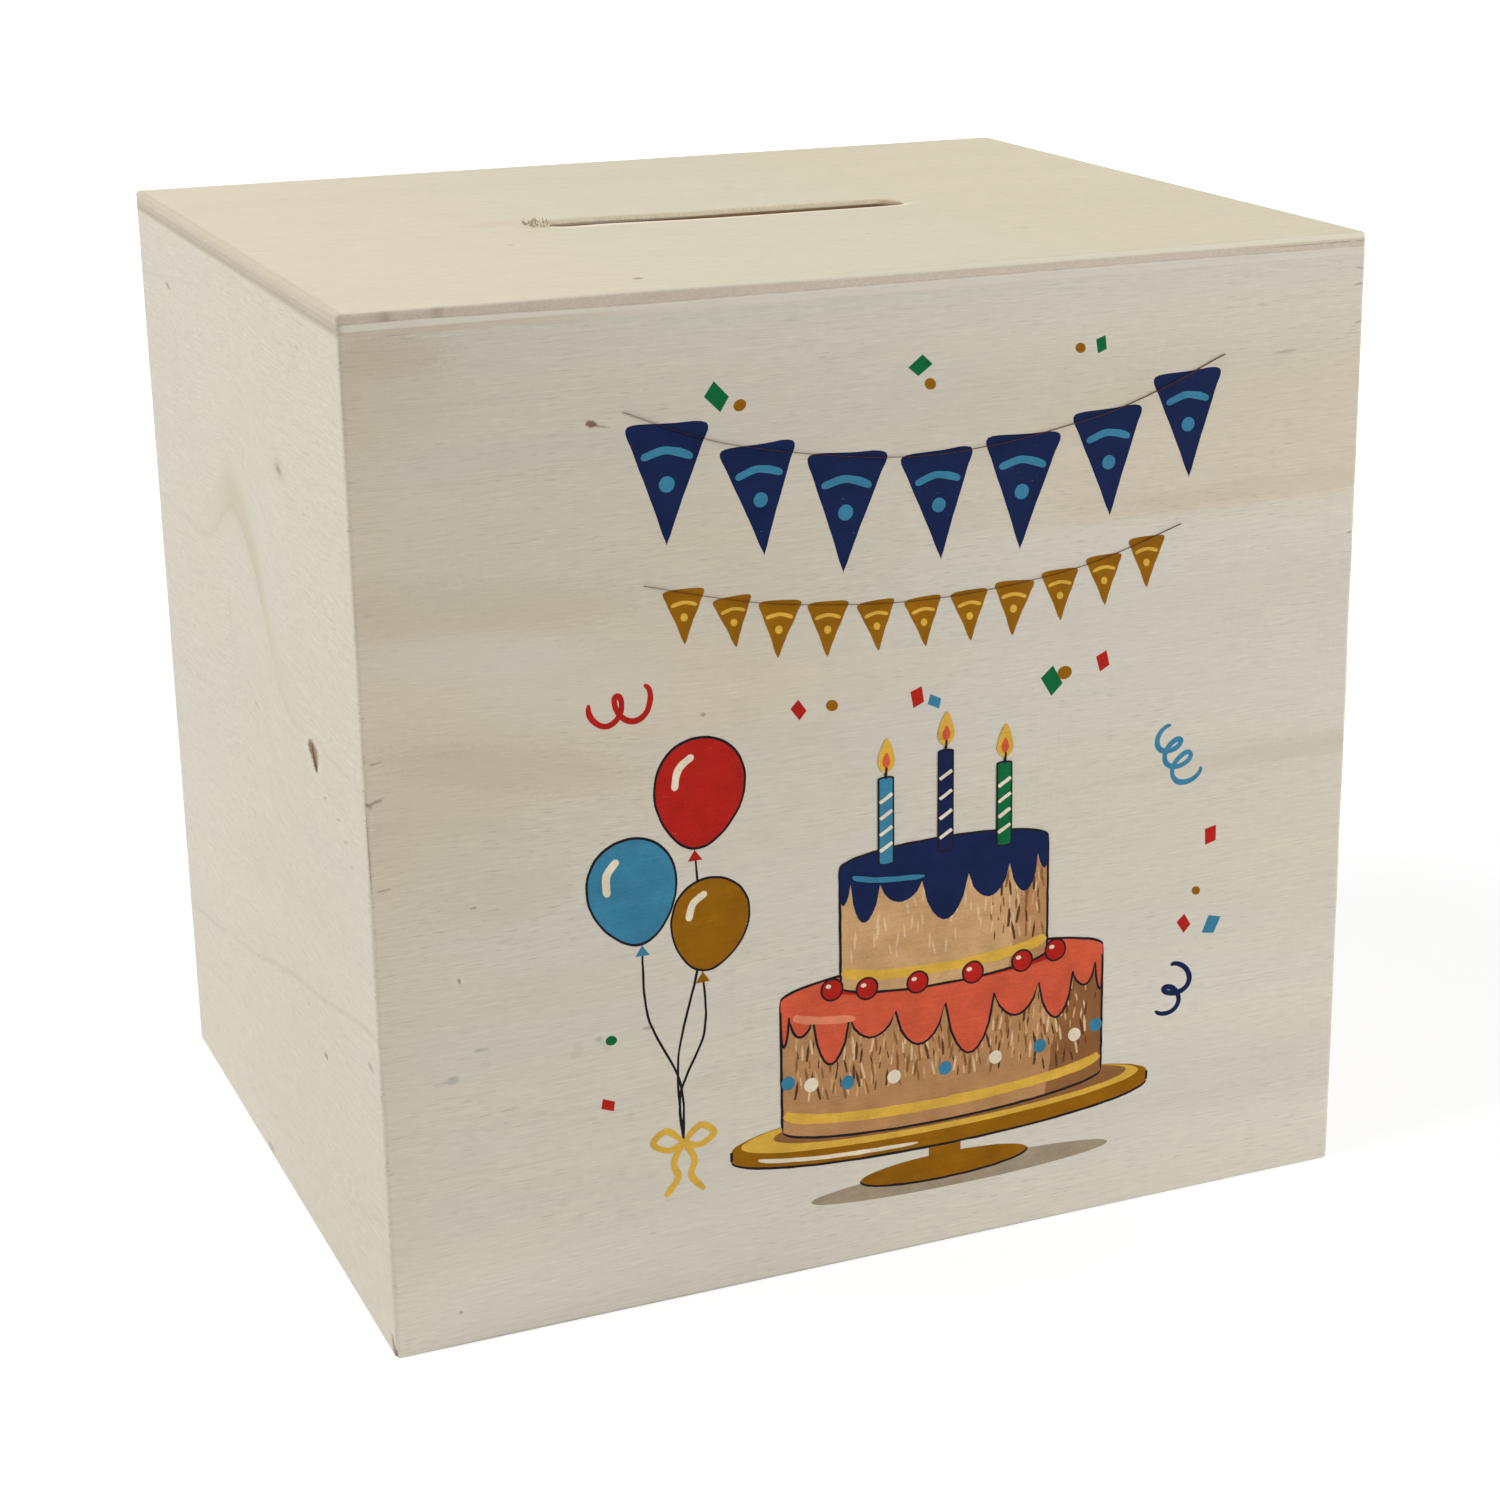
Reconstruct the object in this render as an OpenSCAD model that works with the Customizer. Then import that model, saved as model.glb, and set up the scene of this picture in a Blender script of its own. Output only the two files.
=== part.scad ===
// Wooden money box: four mitred boards, a glued plywood top with a coin slot,
// and a floor panel that slides out under the back board on a pull strip.
// The box stands on the plane z = 0, centred on the Z axis, with its front towards -Y.

/* [Box] */
// Width over the side boards
box_w = 210; // [150:1:300]
// Depth over the front and back boards
box_d = 170; // [120:1:240]
// Height over the top panel
box_h = 203; // [140:1:300]
// Radius sanded on the outer edges of the glued box
arris_r = 1; // [0.5:0.1:1.5]

/* [Boards] */
// Thickness of the four boards
wall_t = 6; // [5:0.5:10]

/* [Top panel] */
// Thickness of the three-ply top
top_t = 4.4; // [3:0.1:8]
// Length of the coin slot from end to end
slot_len = 80; // [40:1:100]
// Width of the coin slot
slot_w = 10; // [5:0.5:14]
// Distance of the slot in front of the middle of the top
slot_forward = 5; // [0:0.5:20]
// Radius worn on the upper edge of the slot
slot_edge_r = 0.6; // [0.4:0.1:1.2]

/* [Sliding floor] */
// Thickness of the floor panel
floor_t = 4; // [3:0.5:6]
// Height of board left below the groove
lip_h = 5; // [5:0.5:10]
// Depth of the groove that carries the floor panel
groove_depth = 3; // [2:0.5:4]
// Play between the sliding floor and the box, on every side
slide_gap = 0.3; // [0.2:0.05:0.5]
// Width of the finger notch in the pull strip
notch_w = 36; // [20:1:80]
// Height of the finger notch
notch_h = 3; // [2:0.5:4]

/* [Hidden] */
$fn = 64;

// Where the boards end and the glued top begins
wall_top = box_h - top_t;
// The groove holds the floor panel with play below and above it
groove_h = floor_t + 2 * slide_gap;
groove_top = lip_h + groove_h;
// Wood left between the outer face of a board and its groove
groove_web = wall_t - groove_depth;
// The floor panel lies this high, and the strip is flush with its upper face
floor_z = lip_h + slide_gap;
floor_top = floor_z + floor_t;
// A cut runs this far past the face that it opens
cut = 1;
// Length that a straight cut needs to pass right through the box
through = 2 * max(box_w, box_d);

board_colour = "#d3ccb9";
top_colour = "#dad1bb";
floor_colour = "#cfc3a6";
strip_colour = "#cdc5b0";

// Plan of the whole box with its four vertical edges rounded, from true arcs
module box_outline() {
    square([box_w - 2 * arris_r, box_d], center = true);
    square([box_w, box_d - 2 * arris_r], center = true);
    for (side = [-1, 1], end = [-1, 1])
        translate([side * (box_w / 2 - arris_r), end * (box_d / 2 - arris_r)])
            circle(r = arris_r);
}

// Plan of one board, mitred at 45 degrees at both ends.
// Its outer edge lies on the X axis and its thickness runs towards +Y.
module mitred_plan(length, relief = 0) {
    outer = length / 2 - relief;
    polygon([
        [-outer, 0],
        [outer, 0],
        [outer - wall_t, wall_t],
        [-outer + wall_t, wall_t]
    ]);
}

// Space of the floor panel and its play, as the groove is cut round the box
module groove_space() {
    width = box_w - 2 * groove_web;
    depth = box_d - 2 * groove_web;
    translate([-width / 2, -depth / 2, lip_h])
        cube([width, depth, groove_h]);
}

// A standing board of the box: turn 0 is the front, 90 the right side,
// 180 the back and 270 the left side. It runs from z = foot to the top panel.
module board(turn, foot) {
    along_x = turn % 180 == 0;
    length = along_x ? box_w : box_d;
    reach = (along_x ? box_d : box_w) / 2;
    translate([0, 0, foot])
        linear_extrude(wall_top - foot)
            intersection() {
                box_outline();
                rotate(turn)
                    translate([0, -reach])
                        mitred_plan(length);
            }
}

module front_wall() {
    color(board_colour)
        difference() {
            board(0, 0);
            groove_space();
        }
}

module right_wall() {
    color(board_colour)
        difference() {
            board(90, 0);
            groove_space();
        }
}

module left_wall() {
    color(board_colour)
        difference() {
            board(270, 0);
            groove_space();
        }
}

// The back board stops above the floor panel, which passes out below it
module back_wall() {
    color(board_colour)
        board(180, groove_top);
}

// Side view of a plate of this length, with its two upper corners rounded
module eased_profile(length) {
    translate([-length / 2, 0])
        square([length, top_t - arris_r]);
    translate([-length / 2 + arris_r, 0])
        square([length - 2 * arris_r, top_t]);
    for (side = [-1, 1])
        translate([side * (length / 2 - arris_r), top_t - arris_r])
            circle(r = arris_r);
}

// Plate of the box's plan whose upper edges are rounded all round
module eased_plate() {
    intersection() {
        linear_extrude(top_t)
            box_outline();
        rotate([90, 0, 0])
            linear_extrude(through, center = true)
                eased_profile(box_w);
        rotate([90, 0, 90])
            linear_extrude(through, center = true)
                eased_profile(box_d);
    }
}

// Half of the slot's cross-section, from its middle line out, with z = 0 at
// the upper face. Above the straight wall it flares along the worn edge's arc.
module half_slot_profile() {
    half_w = slot_w / 2;
    translate([0, -top_t - cut])
        square([half_w, top_t + 2 * cut]);
    difference() {
        translate([0, -slot_edge_r])
            square([half_w + slot_edge_r, slot_edge_r + cut]);
        translate([half_w + slot_edge_r, -slot_edge_r])
            circle(r = slot_edge_r);
    }
}

// The coin slot as a cutter: a straight run with a half turn at each end
module coin_slot() {
    straight = slot_len - slot_w;
    for (side = [0, 1]) {
        rotate([90, 0, 90])
            linear_extrude(straight, center = true)
                mirror([side, 0])
                    half_slot_profile();
        rotate(180 * side)
            translate([straight / 2, 0, 0])
                rotate(-90)
                    rotate_extrude(angle = 180)
                        half_slot_profile();
    }
}

module top_panel() {
    color(top_colour)
        translate([0, 0, wall_top])
            difference() {
                eased_plate();
                translate([0, -slot_forward, top_t])
                    coin_slot();
            }
}

// The panel runs in the groove on three sides and ends in the strip's rebate
module floor_panel() {
    width = box_w - 2 * (groove_web + slide_gap);
    front = -box_d / 2 + groove_web + slide_gap;
    back = box_d / 2 - groove_web;
    color(floor_colour)
        translate([-width / 2, front, floor_z])
            cube([width, back - front, floor_t]);
}

// Flat arch for a fingertip under the pull strip, cut along Y
module finger_notch() {
    arch_r = (notch_w * notch_w / 4 + notch_h * notch_h) / (2 * notch_h);
    translate([0, 0, notch_h - arch_r])
        rotate([90, 0, 0])
            cylinder(h = through, r = arch_r, center = true, $fn = 180);
}

// The strip closes the back below the back board. The floor panel is glued
// into its rebate, and the strip's foot hangs clear of what the box stands on.
module pull_strip() {
    rebate_back = box_d / 2 - groove_web;
    color(strip_colour)
        difference() {
            translate([0, 0, slide_gap])
                linear_extrude(floor_top - slide_gap)
                    intersection() {
                        box_outline();
                        rotate(180)
                            translate([0, -box_d / 2])
                                mitred_plan(box_w, slide_gap);
                    }
            translate([-through / 2, rebate_back - through, floor_z])
                cube([through, through, floor_t + cut]);
            translate([0, 0, slide_gap])
                finger_notch();
        }
}

front_wall();
left_wall();
right_wall();
back_wall();
top_panel();
floor_panel();
pull_strip();
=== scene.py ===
import math

import bmesh
import bpy
from mathutils import Matrix, Quaternion, Vector, geometry, noise


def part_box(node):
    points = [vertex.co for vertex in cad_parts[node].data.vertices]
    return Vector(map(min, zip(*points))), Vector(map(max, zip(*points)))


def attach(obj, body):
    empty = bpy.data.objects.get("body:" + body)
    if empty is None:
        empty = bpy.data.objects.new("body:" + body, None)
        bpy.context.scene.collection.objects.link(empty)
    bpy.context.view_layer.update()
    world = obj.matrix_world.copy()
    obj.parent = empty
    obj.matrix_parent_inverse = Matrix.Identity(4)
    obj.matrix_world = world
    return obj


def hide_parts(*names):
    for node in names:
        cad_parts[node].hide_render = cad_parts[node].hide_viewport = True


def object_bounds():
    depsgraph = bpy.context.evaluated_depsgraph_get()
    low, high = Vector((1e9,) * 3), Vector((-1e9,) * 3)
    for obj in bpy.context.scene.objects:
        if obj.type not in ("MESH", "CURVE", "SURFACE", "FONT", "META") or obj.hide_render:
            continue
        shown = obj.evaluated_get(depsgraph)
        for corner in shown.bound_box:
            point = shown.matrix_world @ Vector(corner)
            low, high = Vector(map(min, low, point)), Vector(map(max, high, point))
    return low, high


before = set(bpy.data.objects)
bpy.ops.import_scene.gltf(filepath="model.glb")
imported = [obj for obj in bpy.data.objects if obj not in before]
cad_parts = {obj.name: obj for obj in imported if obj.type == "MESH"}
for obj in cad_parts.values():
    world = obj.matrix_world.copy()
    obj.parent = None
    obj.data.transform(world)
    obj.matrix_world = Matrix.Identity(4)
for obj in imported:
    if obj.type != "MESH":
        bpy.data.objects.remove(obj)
cad_low, cad_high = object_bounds()


# ---- Standpoint ------------------------------------------------------------
# The box is seen from its front left and from a little above. The view is square,
# and the lens axis passes right of its middle and a little above it.

camera_place = Vector((-0.2364, -0.6019, 0.2974))
camera_azimuth = math.radians(-24.145)
camera_elevation = math.radians(17.704)
camera_roll = math.radians(0.352)
view_side = 1500
focal_length_px = 3067.0
lens_axis_px = (868.0, 716.0)

camera_data = bpy.data.cameras.new("standpoint")
camera_data.sensor_width = 36.0
camera_data.lens = focal_length_px / view_side * camera_data.sensor_width
camera_data.shift_x = (view_side / 2 - lens_axis_px[0]) / view_side
camera_data.shift_y = (lens_axis_px[1] - view_side / 2) / view_side
camera = bpy.data.objects.new("standpoint", camera_data)
backwards = Vector((
    math.sin(camera_azimuth) * math.cos(camera_elevation),
    -math.cos(camera_azimuth) * math.cos(camera_elevation),
    math.sin(camera_elevation),
))
camera.location = camera_place
camera.rotation_mode = "QUATERNION"
camera.rotation_quaternion = (
    (-backwards).to_track_quat("-Z", "Y") @ Quaternion((0, 0, 1), -camera_roll)
)
bpy.context.scene.collection.objects.link(camera)
bpy.context.scene.camera = camera
bpy.context.scene.view_settings.view_transform = "Standard"


# ---- Front board -----------------------------------------------------------
# A 6 mm board of rotary-cut poplar ply, its grain level, mitred at both ends
# and glued to the side boards. A groove near its foot holds the sliding floor.
# The arrises were sanded by hand after gluing, so their rounding wanders.

mm = 0.001
half_width = cad_high.x
half_depth = cad_high.y
board_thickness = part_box("front_wall")[1].y + half_depth
wall_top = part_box("front_wall")[1].z
floor_low, floor_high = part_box("floor_panel")
floor_play = 0.3 * mm
groove_web = half_width - floor_high.x - floor_play
groove_rows = (floor_low.z - floor_play, floor_high.z + floor_play)
arris_radius = 0.95 * mm
foot_radius = 0.55 * mm
seam_ease = 0.05 * mm
cleft_row = 0.3 * mm
sliver = 0.001 * mm
sanded_bump = 0.018 * mm
sanded_roughness = 0.78
fibre_gloss = 0.05
wood_specular = 0.2
front_seed = 2.0


def graded(low, high, edge, fine, coarse):
    """Places from low to high, fine apart within edge of both ends, and coarse apart between."""
    runs = max(1, round(edge / fine))
    middle = max(1, round((high - low - 2 * edge) / coarse))
    places = [low + edge * k / runs for k in range(runs)]
    places += [low + edge + (high - low - 2 * edge) * k / middle for k in range(middle + 1)]
    places += [high - edge * (runs - 1 - k) / runs for k in range(runs)]
    return places


def sanded_radius(x, y, z):
    """Radius of the vertical arris nearest this place, uneven as sandpaper leaves it."""
    wander = noise.noise(Vector((math.copysign(3.1, x), math.copysign(5.7, y), z * 70)))
    nibble = noise.noise(Vector((math.copysign(9.3, x), math.copysign(2.9, y), z * 420)))
    return arris_radius * (1 + 0.30 * wander + 0.14 * nibble)


def on_outline(x, y, inset, radius):
    """Brings a point that lies outside the rounded outline of the box back onto it."""
    reach_x, reach_y = half_width - inset, half_depth - inset
    x = max(-reach_x, min(reach_x, x))
    y = max(-reach_y, min(reach_y, y))
    over_x = abs(x) - (reach_x - radius)
    over_y = abs(y) - (reach_y - radius)
    if over_x > 0 and over_y > 0:
        pull = min(1.0, radius / math.hypot(over_x, over_y))
        x = math.copysign(reach_x - radius + over_x * pull, x)
        y = math.copysign(reach_y - radius + over_y * pull, y)
    return x, y


def foot_inset(height, radius):
    """How far a face draws in at this height above an edge that is rounded to radius."""
    if height >= radius:
        return 0.0
    return radius - math.sqrt(max(0.0, radius ** 2 - (radius - height) ** 2))


def solid_from(name, points, faces, sliver=0.0):
    """A plain mesh object with its place in its mesh, shaded smooth. Edges shorter than a sliver
    close up, which may change the order of its points."""
    mesh = bpy.data.meshes.new(name)
    mesh.from_pydata(points, [], faces)
    if sliver:
        whole = bmesh.new()
        whole.from_mesh(mesh)
        bmesh.ops.dissolve_degenerate(whole, dist=sliver, edges=whole.edges)
        whole.to_mesh(mesh)
        whole.free()
    mesh.shade_smooth()
    mesh.set_sharp_from_angle(angle=math.radians(40))
    made = bpy.data.objects.new(name, mesh)
    bpy.context.scene.collection.objects.link(made)
    return made


def two_grids(wide, high):
    """Faces of a slab: a grid of points, the same grid again behind it, and its four sides."""
    back_side = wide * high
    faces = []
    for r in range(high - 1):
        for c in range(wide - 1):
            a, b = r * wide + c, (r + 1) * wide + c
            faces.append((a, a + 1, b + 1, b))
            faces.append((back_side + a, back_side + b, back_side + b + 1, back_side + a + 1))
        left, right = r * wide, r * wide + wide - 1
        faces.append((left, left + wide, back_side + left + wide, back_side + left))
        faces.append((right, back_side + right, back_side + right + wide, right + wide))
    last = (high - 1) * wide
    for c in range(wide - 1):
        faces.append((c, back_side + c, back_side + c + 1, c + 1))
        faces.append((last + c, last + c + 1, back_side + last + c + 1, back_side + last + c))
    return faces


def standing_board(name, turn, foot, grooved, shape_face=None):
    """A mitred board as two grids, its outer and inner face, joined round their edges.
    turn is 0 for the front, 90 the right, 180 the back and 270 the left."""
    half = half_width if turn % 180 == 0 else half_depth
    reach = half_depth if turn % 180 == 0 else half_width
    columns = graded(-half, half, edge=3 * mm, fine=0.2 * mm, coarse=3 * mm)
    rows = graded(foot, wall_top, edge=0.4 * mm, fine=0.1 * mm, coarse=1.5 * mm)
    rows += [foot + cleft_row * k for k in range(2, 20)]
    if grooved:
        shoulder = 0.08 * mm
        rows += [z + side * shoulder for z in groove_rows for side in (-1, 1)]
    rows = sorted(set(round(z, 6) for z in rows))
    cos_turn, sin_turn = round(math.cos(math.radians(turn))), round(math.sin(math.radians(turn)))
    points = []
    for inner in (False, True):
        for z in rows:
            in_groove = grooved and groove_rows[0] < z < groove_rows[1]
            depth = 0.0
            if inner:
                depth = groove_web if in_groove else board_thickness
            for u in columns:
                along, back = u * (half - depth) / half, depth - reach
                x = along * cos_turn - back * sin_turn
                y = along * sin_turn + back * cos_turn
                if not inner:
                    inset = foot_inset(z - foot, foot_radius if foot == 0 else seam_ease)
                    inset = max(inset, foot_inset(wall_top - z, seam_ease))
                    if shape_face:
                        x, y, inset = shape_face(x, y, z, inset)
                    x, y = on_outline(x, y, inset, sanded_radius(x, y, z))
                points.append((x, y, z))
    return solid_from(name, points, two_grids(len(columns), len(rows)), sliver)


class Field:
    """A value that varies over a surface. Sums and products of fields become shader nodes."""

    def __init__(self, socket):
        self.socket = socket

    def calc(self, operation, *others):
        """One Math node on this field and the others."""
        node = self.socket.id_data.nodes.new("ShaderNodeMath")
        node.operation = operation
        for slot, value in zip(node.inputs, (self, *others)):
            feed(slot, value)
        return Field(node.outputs[0])

    def __add__(self, other):
        return self.calc("ADD", other)

    def __sub__(self, other):
        return self.calc("SUBTRACT", other)

    def __mul__(self, other):
        return self.calc("MULTIPLY", other)

    def __truediv__(self, other):
        return self.calc("DIVIDE", other)

    def __rsub__(self, other):
        return self.calc("MULTIPLY_ADD", -1.0, other)

    def __abs__(self):
        return self.calc("ABSOLUTE")

    __radd__ = __add__
    __rmul__ = __mul__


def feed(slot, value):
    """Links a field to a socket, or sets the socket to a plain value."""
    if isinstance(value, Field):
        slot.id_data.links.new(value.socket, slot)
    else:
        slot.default_value = value


def spot(x, y, z=0.0):
    """The place x, y, z as one vector field."""
    node = x.socket.id_data.nodes.new("ShaderNodeCombineXYZ")
    for slot, value in zip(node.inputs, (x, y, z)):
        feed(slot, value)
    return Field(node.outputs[0])


def cloud(place, detail=2.0, roughness=0.5, distortion=0.0):
    """Soft noise about zero, from -1 to 1, whose grains are one unit of the place across."""
    node = place.socket.id_data.nodes.new("ShaderNodeTexNoise")
    feed(node.inputs["Vector"], place)
    node.inputs["Scale"].default_value = 1.0
    node.inputs["Detail"].default_value = detail
    node.inputs["Roughness"].default_value = roughness
    node.inputs["Distortion"].default_value = distortion
    return Field(node.outputs["Fac"]).calc("MULTIPLY_ADD", 2.0, -1.0)


def rises(value, low, high):
    """0 before low, 1 past high and a smooth rise between, also where low is the larger."""
    node = value.socket.id_data.nodes.new("ShaderNodeMapRange")
    node.interpolation_type = "SMOOTHSTEP"
    for slot, given in zip(node.inputs, (value, low, high)):
        feed(slot, given)
    return Field(node.outputs[0])


def hill(value):
    """1 where the value is zero, falling off to both sides as a bell."""
    return (value * value * -1.0).calc("EXPONENT")


def mixed(share, first, second):
    """The first colour where the share is 0, and the second where it is 1."""
    node = share.socket.id_data.nodes.new("ShaderNodeMix")
    node.data_type = "RGBA"
    share_slot, first_slot, second_slot, result_slot = 0, 6, 7, 2
    feed(node.inputs[share_slot], share)
    feed(node.inputs[first_slot], first)
    feed(node.inputs[second_slot], second)
    return Field(node.outputs[result_slot])


def shaded(colour, strength):
    """The colour made lighter or darker by this factor."""
    node = colour.socket.id_data.nodes.new("ShaderNodeVectorMath")
    node.operation = "SCALE"
    feed(node.inputs[0], colour)
    feed(node.inputs["Scale"], strength)
    return Field(node.outputs[0])


def paint(red, green, blue):
    """A colour given as it looks on a screen, 0 to 255, as the light it sends back."""
    linear = [((c / 255 + 0.055) / 1.055) ** 2.4 for c in (red, green, blue)]
    return (*linear, 1.0)


def oval(place, centre, reach, tilt=0.0, ragged=0.0):
    """1 inside an oval mark of these half lengths on a face, falling to 0 at its edge."""
    tree = place.socket.id_data
    turned = tree.nodes.new("ShaderNodeMapping")
    turned.vector_type = "TEXTURE"
    feed(turned.inputs["Vector"], place)
    turned.inputs["Location"].default_value = (*centre, 0)
    turned.inputs["Rotation"].default_value = (0, 0, math.radians(tilt))
    turned.inputs["Scale"].default_value = (*reach, 1)
    length = tree.nodes.new("ShaderNodeVectorMath")
    length.operation = "LENGTH"
    tree.links.new(turned.outputs[0], length.inputs[0])
    return rises(Field(length.outputs["Value"]) + ragged, 1.25, 0.55)


def marked(colour, face, ragged, marks):
    """The colour with marks laid over it in turn, each given by its middle, half lengths, tilt,
    strength and colour."""
    for centre, reach, tilt, strength, mark_colour in marks:
        colour = mixed(oval(face, centre, reach, tilt, ragged) * strength, colour, mark_colour)
    return colour


def new_material(name):
    """A material with an untouched shader, and where its surface is in millimetres."""
    material = bpy.data.materials.new(name)
    material.use_nodes = True
    tree = material.node_tree
    where = tree.nodes.new("ShaderNodeTexCoord")
    in_mm = tree.nodes.new("ShaderNodeVectorMath")
    in_mm.operation = "SCALE"
    in_mm.inputs["Scale"].default_value = 1 / mm
    tree.links.new(where.outputs["Object"], in_mm.inputs[0])
    parts = tree.nodes.new("ShaderNodeSeparateXYZ")
    tree.links.new(in_mm.outputs[0], parts.inputs[0])
    return material, [Field(part) for part in parts.outputs]


def veneer(along, across, figure, depth, seed):
    """Tones of a rotary-cut face about zero. along runs with the grain and across lies over it;
    figure bends with the growth lines. Returns bands, streaks, fibres and pores."""
    level = depth * 0.35 + seed
    grain = across * 0.75 + figure * 0.25
    bands = cloud(spot(along / 260, figure / 17, level), 2.0)
    streaks = cloud(spot(along / 34, grain / 0.6, level), 1.0)
    fibres = cloud(spot(along / 12, grain / 0.45, level), 3.0, 0.8)
    flecks = cloud(spot(along / 3.0, across / 0.26, level), 1.0)
    patches = rises(cloud(spot(along / 40, figure / 20, level + 9), 1.0), -0.35, 0.35)
    pores = rises(cloud(spot(along / 3.6, grain / 0.3, level + 5), 0.0), 0.36, 0.62) * patches
    return bands, streaks, fibres * 0.75 + flecks * 0.4, pores


def growth_lines(along, figure, seed, spacing, width):
    """Thin lines at uneven distances, where a slow drift across the grain passes its middle."""
    drift = cloud(spot(along / 900, figure / spacing, seed), 1.0)
    fading = rises(cloud(spot(along / 90, figure / 30, seed + 3), 1.0), -0.15, 0.25)
    return hill(drift / width) * fading


def crossed_plies(depth, ply, plies):
    """1 on the plies of a board that lie across its face grain, and how near a glue line is."""
    layer = (depth.calc("MAXIMUM", 0.0) * 0.996 + 0.01) / ply
    crossed = layer.calc("FLOOR").calc("MODULO", 2.0)
    to_line = abs(layer.calc("PINGPONG", 1.0) - 0.5) * 2.0
    inside = rises(depth, 0.3 * ply, 0.6 * ply) * rises(depth, (plies - 0.3) * ply, (plies - 0.6) * ply)
    return crossed, rises(to_line, 0.86, 0.97) * inside


def dress_wood(material, wood, bump_height, roughness, gloss=fibre_gloss, specular=wood_specular):
    """Gives a wood, as its colour and relief, to a material's shader. Fibres that stand up make
    the bump, and they are a little glossier than the rest."""
    colour, relief = wood
    tree = material.node_tree
    shader = tree.nodes["Principled BSDF"]
    bump = tree.nodes.new("ShaderNodeBump")
    bump.inputs["Strength"].default_value = 1.0
    bump.inputs["Distance"].default_value = bump_height
    feed(bump.inputs["Height"], relief)
    tree.links.new(bump.outputs["Normal"], shader.inputs["Normal"])
    feed(shader.inputs["Base Color"], colour)
    feed(shader.inputs["Roughness"], roughness - relief * gloss if gloss else roughness)
    shader.inputs["Specular IOR Level"].default_value = specular


def end_grain(place_x, place_y, place_z):
    """Cut fibre ends: fine speckles about zero."""
    return cloud(spot(place_x / 0.5, place_y / 0.5, place_z / 0.5), 3.0, 0.7)


sapwood_cool = paint(216, 210, 196)
sapwood_warm = paint(216, 205, 184)
cut_fibre_brown = paint(186, 168, 147)
glue_brown = paint(150, 132, 108)
knot_brown = paint(120, 96, 76)
stain_grey = paint(166, 168, 161)
stain_dark = paint(140, 148, 140)
halo_cream = paint(226, 220, 204)
tick_brown = paint(142, 122, 100)
tan_cloud = paint(196, 178, 150)
tan_rosy = paint(196, 166, 138)
halo_cool = paint(222, 218, 208)
board_ply = board_thickness / mm / 5


def cut_edges(colour, depth, ply, plies, speckle):
    """The colour with the plies that lie across, and the glue lines, where a cut shows them."""
    crossed, glue = crossed_plies(depth, ply, plies)
    cut_plies = mixed(glue, cut_fibre_brown, glue_brown)
    colour = mixed(crossed, colour, shaded(cut_plies, 1.0 + speckle))
    return mixed(glue, colour, glue_brown)


def board_wood(along, up, depth, figure, seed, warmth, contrast, marks):
    """Colour and relief of a board: its sapwood tones, growth lines, marks and crossed plies.
    Lengths are in millimetres, and depth is measured in from the outer face."""
    bands, streaks, fibres, pores = veneer(along, up, figure, depth, seed)
    weave = cloud(spot(along / 0.8, up / 3.2, seed), 1.0) * cloud(spot(along / 22, up / 60, seed), 0.0)
    lines = growth_lines(along, figure, seed, 19, 0.035)
    warmth = warmth + bands * 0.6 * contrast
    colour = mixed(warmth.calc("MAXIMUM", 0.0).calc("MINIMUM", 1.0), sapwood_cool, sapwood_warm)
    tone = bands * (0.03 + 0.03 * contrast) - lines * 0.025 * contrast + streaks * 0.024
    colour = shaded(colour, 1.0 + tone + fibres * (0.30 - 0.07 * contrast) + weave * 0.06 - pores * 0.18)

    face = spot(along, up)
    ragged = cloud(spot(along / 0.9, up / 0.5, seed), 1.0) * 0.5
    colour = marked(colour, face, ragged, marks)
    speckle = end_grain(along, up, depth) * 0.2
    return cut_edges(colour, depth, board_ply, 5, speckle), fibres - pores


def arris_nicks(along, up, from_arris):
    """Short cuts across the sanded arris, where fibres broke out of the mitre."""
    cuts = cloud(spot(along / 2.2 + up * 0.2, up / 0.5, 7.0), 1.0)
    stretches = cloud(spot(along * 0.0, up / 9, 3.0), 1.0)
    near = rises(from_arris, 2.4, 0.3) * 0.40 + stretches * 0.35
    return rises(cuts + near, 0.55, 0.9) * rises(from_arris, 3.2, 1.2)


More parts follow.
